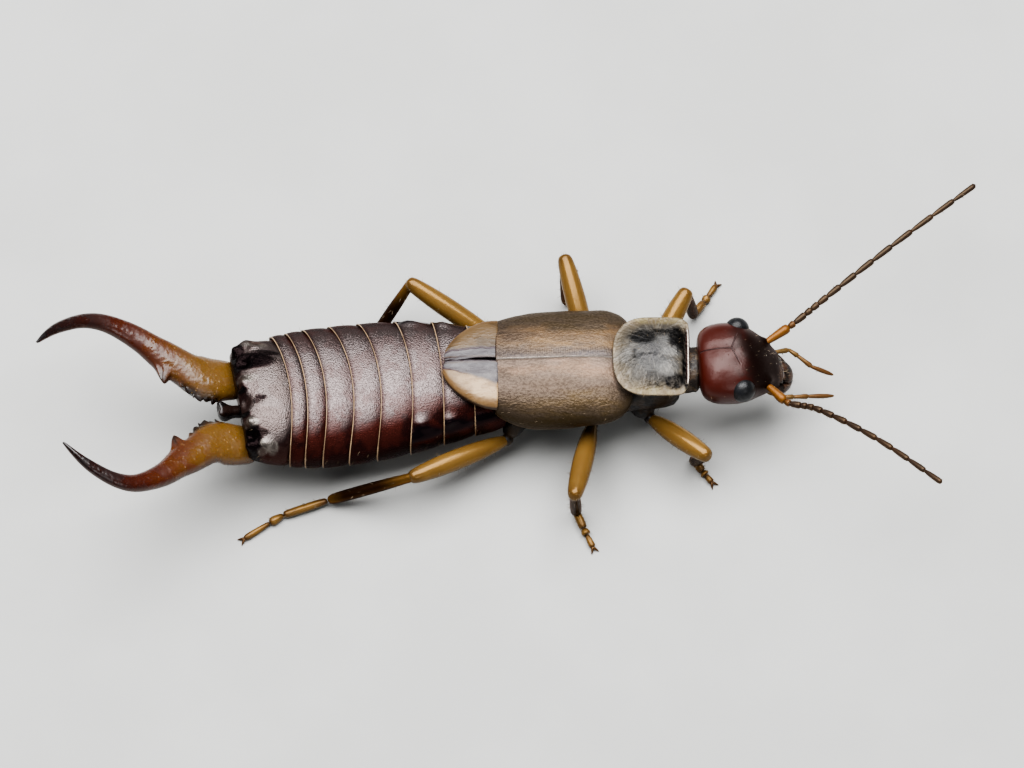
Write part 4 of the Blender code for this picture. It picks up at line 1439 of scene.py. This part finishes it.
def plateShell():
    tones = {
        "red": (0.031, 0.0072, 0.0054),
        "darkRed": (0.013, 0.0038, 0.0034),
        "sheen": (0.108, 0.090, 0.088),
        "groove": (0.012, 0.004, 0.003),
        "gland": (0.003, 0.002, 0.003),
        "rim": (0.21, 0.145, 0.09),
    }
    skin = Finish("plateShell", 0.36, tones, Specular_IOR_Level=0.22, Specular_Tint=(0.34, 0.17, 0.15))
    height, fleck = skin.grain(28.0, (1.0, 1.15, 1.0))
    drift = skin.drift(0.6, 0.7)
    ahead, gland = skin.painted("ahead", "gland")
    _, across, up = skin.facing()
    # painted sheen: the top-facing middle of each plate is coloured lighter grey, a painted highlight of the lamp
    # overhead
    sheen = (across * 0.10 + up).rise(0.80, 0.995) * drift.span(0.75, 1.0) * fleck.span(0.78, 1.0)
    rim = ahead.reckon("LESS_THAN", up.fade(0.3, 0.9, 0.030, 0.019)) * drift.span(0.65, 1.0)
    calm = 1.0 - gland.most(rim)
    colour = skin.blend(drift, "red", "darkRed")
    # painted shade: a darker band just ahead of each plate's pale rear margin
    colour = skin.lay(colour, sheen=sheen, groove=ahead.fade(0.03, 0.14, 0.55), gland=gland, rim=rim)
    rough = fleck * -0.10 + 0.38 + gland * -0.24
    skin.wear(Base_Color=colour, Metallic=sheen.span(0.60, 0.92) * calm, Roughness=rough)
    return skin.relief(height * calm, 0.8, 0.017)


def lastRingShell():
    tones = {
        "sheen": (0.098, 0.082, 0.078),
        "cloud": (0.050, 0.030, 0.026),
        "black": (0.0025, 0.0015, 0.002),
        "glint": (0.185, 0.168, 0.150),
    }
    skin = Finish("lastRingShell", 0.25, tones, Specular_IOR_Level=0.30, Specular_Tint=(0.36, 0.24, 0.22))
    height, fleck = skin.grain(30.0, (1.2, 0.9, 1.0))
    up = skin.facing()[2]
    ripples = skin.noise(skin.millimetres((0.9, 0.6, 0.6)), 4.0, 2.0, Distortion=1.2)
    # black holds the painted dark reflection of the patches, with the dark rear band
    black, glint = skin.painted("black", "glint")
    # painted sheen: the top-facing shell is coloured lighter, a painted highlight, except on the black patches
    sheen = up.rise(0.76, 0.97) * fleck.span(0.86, 1.0) * (1.0 - black)
    colour = skin.stops(
        up, ((0.0, (0.030, 0.007, 0.004)), (0.45, (0.018, 0.005, 0.004)), (0.8, (0.010, 0.005, 0.005)))
    )
    # the glint patches are painted highlights, rippled
    cloud, shine = skin.drift(0.45, 0.8) * 0.25, glint * ripples.rise(0.40, 0.60, 1.0, 0.35)
    colour = skin.lay(colour, sheen=sheen, cloud=cloud, black=black, glint=shine)
    metal = sheen.most(glint).span(0.55, 0.92)
    skin.wear(Base_Color=colour, Metallic=metal, Roughness=black * -0.14 + 0.35)
    return skin.relief(height * 0.8 + ripples * (black * 2.0 + 0.35), 0.7, 0.025)


def pincerHorn():
    tones = {"under": (0.045, 0.011, 0.003), "dark": (0.006, 0.003, 0.002), "pit": (0.22, 0.12, 0.03)}
    skin = Finish("pincerHorn", 0.22, tones, Specular_IOR_Level=0.42, Subsurface_Weight=0.12)
    skin.wear(Subsurface_Radius=(1.0, 0.4, 0.15), Subsurface_Scale=0.0002)
    pits, drift = skin.pits(7.0, 0.16), skin.drift(0.5, 0.7)
    along, dark = skin.painted("along", "dark")
    colour = skin.stops(
        drift * 0.08 + along,
        (
            (0.0, (0.084, 0.043, 0.010)),
            (0.22, (0.076, 0.036, 0.008)),
            (0.38, (0.052, 0.015, 0.004)),
            (0.54, (0.034, 0.006, 0.002)),
            (0.75, (0.013, 0.003, 0.002)),
            (0.95, (0.004, 0.002, 0.002)),
        ),
    )
    # painted shade: the downward-facing sides of the arms are coloured darker
    under, pit = skin.facing()[2].fade(-0.1, 0.62, 0.75), pits * along.fade(0.1, 0.6, 0.45)
    colour = skin.lay(colour, under=under, dark=dark, pit=pit)
    skin.wear(Base_Color=colour, Roughness=drift.span(0.21, 0.34))
    return skin.relief(pits * -0.5 + skin.grain(9.0)[0], 0.5, 0.02)


def wingCoverShell():
    tones = {
        "wrinkle": (0.040, 0.030, 0.024),
        "shade": (0.026, 0.019, 0.016),
        "rib": (0.030, 0.024, 0.025),
        "flank": (0.020, 0.013, 0.005),
        "fleck": (0.22, 0.165, 0.12),
        "keel": (0.26, 0.225, 0.20),
        "rear": (0.018, 0.011, 0.008),
        "hem": (0.16, 0.115, 0.065),
    }
    skin = Finish("wingCoverShell", 0.42, tones, Specular_IOR_Level=0.30, Specular_Tint=(0.52, 0.42, 0.32))
    skin.wear(Metallic=0.40)
    ripples = skin.noise(skin.millimetres((0.45, 1.0, 1.0)), 13.0, 1.5, Distortion=0.8)
    height, fleck = skin.grain(21.0, (0.7, 1.0, 1.0))
    broad, fine = skin.drift(0.9, 0.7, (0.5, 1.2, 1.0)), skin.drift(0.17, 0.6, (0.28, 1.0, 1.0))
    seam, far, rear, hem = skin.painted("seam", "farSide", "rear", "hem")
    # the colours from the seam to the edge, on the near and on the far cover
    shifted = ((broad - 0.5) * 0.22 + seam) * 0.6
    near = skin.stops(
        shifted,
        (
            (0.0, (0.110, 0.080, 0.064)),
            (0.16, (0.125, 0.079, 0.054)),
            (0.34, (0.072, 0.055, 0.047)),
            (0.50, (0.032, 0.023, 0.019)),
            (0.68, (0.046, 0.031, 0.016)),
            (0.92, (0.030, 0.020, 0.009)),
        ),
    )
    away = skin.stops(
        shifted,
        (
            (0.0, (0.060, 0.053, 0.054)),
            (0.10, (0.072, 0.063, 0.060)),
            (0.24, (0.108, 0.070, 0.039)),
            (0.42, (0.096, 0.058, 0.030)),
            (0.56, (0.034, 0.024, 0.014)),
            (0.92, (0.024, 0.017, 0.008)),
        ),
    )
    ribs = (skin.split(skin.millimetres())[0] * 110.0).reckon("SINE")
    band = abs(seam - 0.17).fade(0.04, 0.16, 0.55) * far
    # painted shade: the sides of the covers that face down are coloured darker
    up = skin.facing()[2]
    # the fleck layer is painted glints: pale grains on the top-facing parts of the covers
    colour = skin.lay(
        skin.blend(far, near, away),
        wrinkle=fine * 0.50,
        shade=rear.fade(0.1, 1.5, 0.75) * broad.rise(0.1, 0.9, 1.0, 0.5),
        rib=band * ribs.rise(-0.6, 0.9),
        flank=up.fade(0.20, 0.74) * 0.8,
        fleck=fleck * up.rise(0.5, 0.95, 0.10, 0.02),
        keel=seam.fade(0.014, 0.030, 0.7),
        rear=rear.fade(0.02, 0.05, 0.7),
        hem=hem.fade(0.03, 0.06, 0.75),
    )
    skin.wear(Base_Color=colour, Roughness=fleck.span(0.43, 0.36))
    return skin.relief(ripples * 1.6 + height, 0.55, 0.011)


def wingPacketSkin():
    tones = {
        "veil": (0.040, 0.034, 0.038),
        "cream": (0.32, 0.220, 0.125),
        "darkCream": (0.20, 0.128, 0.066),
        "root": (0.120, 0.078, 0.040),
        "amber": (0.074, 0.045, 0.020),
        "darkAmber": (0.046, 0.027, 0.011),
        "brim": (0.090, 0.044, 0.012),
        "line": (0.030, 0.016, 0.022),
        "edge": (0.020, 0.008, 0.004),
    }
    skin = Finish("wingPacketSkin", 0.4, tones, Specular_IOR_Level=0.30)
    height, fleck = skin.grain(14.0, (0.5, 1.0, 1.0))
    drift = skin.drift(0.35, 0.7, (0.6, 1.0, 1.0))
    scribble = skin.noise(skin.millimetres((1.0, 0.2, 0.2)), 3.2, 1.0)
    seam, far, rear = skin.painted("seam", "farSide", "rear")
    ahead = skin.split(skin.millimetres())[0].rise(-1.69, -0.35, smooth="LINEAR")
    # where the swollen pad begins: further from the slit in front, most of all on the near side
    nearBorder, farBorder = ahead * 0.46 + 0.20, ahead * 0.08 + 0.26
    beyond = (scribble - 0.5) * 0.14 + seam - (far * (farBorder - nearBorder) + nearBorder)
    inner = skin.stops(
        seam,
        (
            (0.05, (0.010, 0.004, 0.006)),
            (0.070, (0.014, 0.006, 0.007)),
            (0.090, (0.060, 0.044, 0.036)),
            (0.14, (0.076, 0.070, 0.075)),
            (0.45, (0.088, 0.078, 0.078)),
        ),
    )
    inner = skin.lay(inner, veil=drift * 0.75)
    cream = skin.lay(skin.blend(drift, "cream", "darkCream"), root=ahead.fade(0.0, 0.7, 0.6))
    # painted shade: the far pad is coloured as a darker copy of the cream pad
    pad = skin.blend(far, cream, skin.blend(drift, "amber", "darkAmber"))
    pad = skin.lay(pad, brim=rear.fade(0.02, 0.12, 0.60))
    line = abs(beyond).fade(0.006, 0.034, 0.85) * far.most(ahead.fade(0.25, 0.6, 1.0, 0.15))
    edge = rear.fade(0.030, 0.060, 0.92) * skin.facing()[2].fade(0.10, 0.55)
    colour = skin.lay(skin.blend(beyond.rise(-0.05, 0.08), inner, pad), line=line, edge=edge)
    skin.wear(Base_Color=colour, Roughness=fleck.span(0.46, 0.36))
    return skin.relief(line * -1.5 + height, 0.5, 0.018)


def shieldShell():
    tones = {
        "margin": (0.115, 0.092, 0.048),
        "darkMargin": (0.085, 0.064, 0.036),
        "spot": (0.0025, 0.0025, 0.003),
        "streak": (0.165, 0.154, 0.142),
        "pale": (0.16, 0.156, 0.15),
        "collar": (0.010, 0.0035, 0.003),
        "thread": (0.33, 0.29, 0.25),
    }
    skin = Finish("shieldShell", 0.4, tones, Specular_IOR_Level=0.30, Specular_Tint=(0.8, 0.75, 0.65))
    height, fleck = skin.grain(13.0)
    drift = skin.drift(0.35, 0.8)
    # streaks that run out from the middle, like the lie of short hairs
    x, y, _ = skin.split(skin.millimetres())
    dx, dy = x - 3.62, y - 0.06
    away = (dx * dx + (dy * dy + 0.003)).reckon("SQRT")
    spokes = skin.add("ShaderNodeCombineXYZ", {0: dx / away, 1: dy / away, 2: away * 0.30})
    hairs = skin.noise(spokes, 13.0, 3.0, Roughness=0.6)
    rimward, margin, spots, pale, collar = skin.painted("rimward", "margin", "spots", "pale", "collar")
    colour = skin.stops(
        (hairs - 0.5) * 0.22 + ((drift - 0.5) * 0.10 + rimward),
        (
            (0.0, (0.036, 0.036, 0.039)),
            (0.36, (0.032, 0.032, 0.033)),
            (0.62, (0.030, 0.027, 0.024)),
            (0.80, (0.060, 0.049, 0.035)),
            (0.93, (0.078, 0.060, 0.040)),
            (0.978, (0.085, 0.065, 0.044)),
            (0.992, (0.130, 0.102, 0.070)),
        ),
    )
    margin = margin * rimward.fade(0.985, 0.995, 0.9, 0.1)
    colour = skin.blend(margin, colour, skin.blend(drift, "margin", "darkMargin"))
    spots = spots * hairs.fade(0.35, 0.62, 1.0, 0.88)
    # light streaks along the lie of the hairs, made brighter on the painted highlight patches, which are also laid on
    # as pale
    streaks = hairs.rise(0.48, 0.70) * (pale * 0.35 + 0.32) * (1.0 - spots)
    thread = collar * abs(rimward - 0.955).fade(0.008, 0.02, 0.8)
    colour = skin.lay(colour, spot=spots, streak=streaks, pale=pale * 0.35, collar=collar, thread=thread)
    skin.wear(Base_Color=colour, Metallic=spots * 0.65 + 0.22, Roughness=fleck.span(0.45, 0.33))
    return skin.relief(hairs * 1.2 + height, 0.7, 0.022)


def headShell():
    tones = {"pit": (0.016, 0.004, 0.003), "suture": (0.010, 0.002, 0.002), "dust": (0.42, 0.38, 0.33)}
    skin = Finish("headShell", 0.3, tones, Specular_IOR_Level=0.46, Specular_Tint=(0.72, 0.60, 0.58))
    pits, drift = skin.pits(5.0, 0.10), skin.drift(0.5, 0.6)
    forward, aside = skin.painted("forward", "aside")
    aside = abs(aside)
    front = (aside * -0.25 + forward) * 0.5
    colour = skin.stops(
        (drift - 0.5) * 0.12 + front,
        (
            (0.0, (0.034, 0.0050, 0.0028)),
            (0.34, (0.027, 0.0042, 0.0026)),
            (0.54, (0.009, 0.0026, 0.0018)),
            (0.9, (0.005, 0.0022, 0.0015)),
        ),
    )
    # the Y-shaped suture: its stem down the crown and its fork between the eyes
    stem = aside.fade(0.008, 0.024) * forward.fade(0.80, 0.82)
    fork = abs(forward - (aside * 0.42 + 0.80)).fade(0.008, 0.024) * aside.fade(0.30, 0.50)
    suture = stem.most(fork) * skin.facing()[2].rise(0.3, 0.6)
    # pale specks scattered over the front of the head
    dust = skin.pits(3.4, 0.075) * (front.rise(0.50, 0.60) * 0.9)
    colour = skin.lay(colour, pit=pits * 0.5, suture=suture, dust=dust)
    rough = front.rise(0.50, 0.72) * 0.10 + drift.span(0.29, 0.35)
    skin.wear(Base_Color=colour, Metallic=front.rise(0.46, 0.66, 0.62), Roughness=rough)
    high = suture * -1.5 + (pits * -0.4 + skin.grain(14.0)[0] * 0.15)
    return skin.relief(high, 0.6, 0.022)


def eyeLens():
    tones = {"black": (0.003, 0.003, 0.0035), "blue": (0.010, 0.0105, 0.012), "facet": (0.003, 0.003, 0.004)}
    skin = Finish("eyeLens", 0.28, tones, Specular_IOR_Level=0.32, Specular_Tint=(0.8, 0.8, 0.8))
    cells = {"Vector": skin.millimetres(), "Scale": 26.0}
    facets = skin.add("ShaderNodeTexVoronoi", cells, "Distance", feature="SMOOTH_F1")
    colour = skin.blend(skin.drift(0.2, 0.6), "black", "blue")
    colour = skin.lay(colour, facet=facets.rise(0.2, 0.6, 0.6))
    skin.wear(Base_Color=colour, Roughness=facets.rise(0.1, 0.6, 0.45, 0.26))
    return skin.relief(facets * -1.0, 0.4, 0.01)


# amber, see-through looking skin of legs, feelers and palps, darker where the painted value says
def amberSkin(name, pale, dark, grains, rough, metal=0.30, tint=(0.9, 0.7, 0.45)):
    tones = {"pale": pale, "dark": dark, "deep": tuple(part * 0.32 for part in pale)}
    skin = Finish(name, rough, tones, Specular_IOR_Level=0.42, Specular_Tint=tint, Metallic=metal)
    skin.wear(Subsurface_Weight=0.15, Subsurface_Radius=(1.0, 0.5, 0.2), Subsurface_Scale=0.00015)
    height, fleck = skin.grain(grains)
    wavering = (skin.drift(0.9, 0.5) - 0.5) * 0.20 + skin.painted("dusk")
    colour = skin.blend(wavering.span(0.0, 1.0), "pale", "dark")
    # painted shade: the faces that look down are coloured darker
    colour = skin.lay(colour, deep=skin.facing()[2].fade(-0.4, 0.7, 0.75))
    skin.wear(Base_Color=colour, Roughness=fleck.span(rough + 0.02, rough - 0.02))
    return skin.relief(height, 0.3, 0.007)


def darkSkin(name, first, second, grains=12.0, rough=0.5, unevenness=0.08):
    skin = Finish(name, rough, {"first": first, "second": second}, Specular_IOR_Level=0.28)
    height, fleck = skin.grain(grains)
    colour = skin.blend(skin.drift(0.3, 0.8), "first", "second")
    skin.wear(Base_Color=colour, Roughness=fleck.span(rough + unevenness, rough - unevenness))
    return skin.relief(height, 0.5, 0.02)


def bellySkin():
    tones = {"dark": (0.020, 0.005, 0.003), "red": (0.042, 0.013, 0.007)}
    skin = Finish("bellySkin", 0.45, tones)
    skin.wear(Base_Color=skin.blend(skin.drift(0.8), "dark", "red"))
    return skin.relief(skin.grain(12.0)[0], 0.5, 0.015)


paints = {
    "bristles": darkSkin("bristleHorn", (0.17, 0.13, 0.085), (0.09, 0.065, 0.04), 6.0),
    "upperPlate": plateShell(),
    "underside": bellySkin(),
    "lastRing": lastRingShell(),
    "tailKnob": darkSkin("tailKnobShell", (0.003, 0.002, 0.002), (0.010, 0.005, 0.004), 10.0, 0.22),
    "pincer": pincerHorn(),
    "wingCover": wingCoverShell(),
    "wingPacket": wingPacketSkin(),
    "pronotum": shieldShell(),
    "head": headShell(),
    "eye": eyeLens(),
    "antenna": amberSkin("feelerSkin", (0.120, 0.046, 0.009), (0.020, 0.012, 0.009), 14.0, 0.42),
    "palp": amberSkin("palpSkin", (0.125, 0.072, 0.024), (0.065, 0.028, 0.010), 14.0, 0.4),
    "neck": darkSkin("neckSkin", (0.010, 0.006, 0.004), (0.045, 0.028, 0.016)),
    "trunk": darkSkin("trunkSkin", (0.005, 0.003, 0.0025), (0.020, 0.011, 0.005)),
    "mouthparts": darkSkin("mouthSkin", (0.006, 0.003, 0.002), (0.030, 0.014, 0.008), 10.0, 0.35),
    "femur": amberSkin("thighSkin", (0.140, 0.077, 0.021), (0.052, 0.025, 0.008), 10.0, 0.24),
    "tibia": amberSkin(
        "shinSkin", (0.140, 0.072, 0.020), (0.022, 0.009, 0.0035), 10.0, 0.30, metal=0.72, tint=(0.22, 0.10, 0.04)
    ),
    "foot": amberSkin("footSkin", (0.145, 0.078, 0.020), (0.040, 0.017, 0.007), 12.0, 0.34),
}
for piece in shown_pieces():
    for start, paint in paints.items():
        if piece.name.startswith(start):
            piece.data.materials.clear()
            piece.data.materials.append(paint)
print("finishes made")


# the floor, the light and the camera
def makeStage():
    deselectAll()
    bpy.ops.mesh.primitive_plane_add(size=1.2, location=(0, 0, 0))
    floor = bpy.context.object
    floor.name = "studioFloor"
    surface = Finish("floorPaint", 0.7, {"grey": (0.31, 0.31, 0.302), "paleGrey": (0.33, 0.33, 0.322)})
    surface.wear(Base_Color=surface.blend(surface.drift(6.0), "grey", "paleGrey"))
    floor.data.materials.append(surface.paint)
    world = bpy.data.worlds.new("studioWorld")
    bpy.context.scene.world = world
    bpy.context.scene.view_settings.look = "AgX - Medium High Contrast"
    world.use_nodes = True
    world.node_tree.nodes["Background"].inputs["Color"].default_value = (0.9, 0.95, 1.0, 1)
    world.node_tree.nodes["Background"].inputs["Strength"].default_value = 0.15
    # power, width, length, distance in metres, and the direction it shines from
    lamps = {
        "overheadBox": (0.50, 0.13, 0.10, 0.10, (-0.06, 0.18, 0.97)),
        "frontFill": (0.05, 0.08, 0.05, 0.16, (0.35, -0.75, 0.55)),
    }
    for name, (power, width, length, distance, way) in lamps.items():
        lamp = bpy.data.lights.new(name, "AREA")
        lamp.shape, lamp.size, lamp.size_y, lamp.energy = "RECTANGLE", width, length, power
        stand = bpy.data.objects.new(name, lamp)
        bpy.context.scene.collection.objects.link(stand)
        way = Vector(way).normalized()
        stand.location = way * distance
        stand.rotation_euler = (-way).to_track_quat("-Z", "Y").to_euler()


def makeCamera():
    lens = {"focal": 225.0, "distance": 0.160, "elevation": 62.0, "aim": (0.00006, -0.00049, 0.0015)}
    eye = bpy.data.cameras.new("photoCamera")
    eye.lens, eye.sensor_width = lens["focal"], 36.0
    eye.clip_start, eye.clip_end = 0.01, 10.0
    camera = bpy.data.objects.new("photoCamera", eye)
    bpy.context.scene.collection.objects.link(camera)
    up = math.radians(lens["elevation"])
    camera.location = Vector(lens["aim"]) + lens["distance"] * Vector((0, -math.cos(up), math.sin(up)))
    camera.rotation_euler = (math.radians(90) - up, 0, 0)
    bpy.context.scene.camera = camera


makeStage()
makeCamera()
print("stage set")
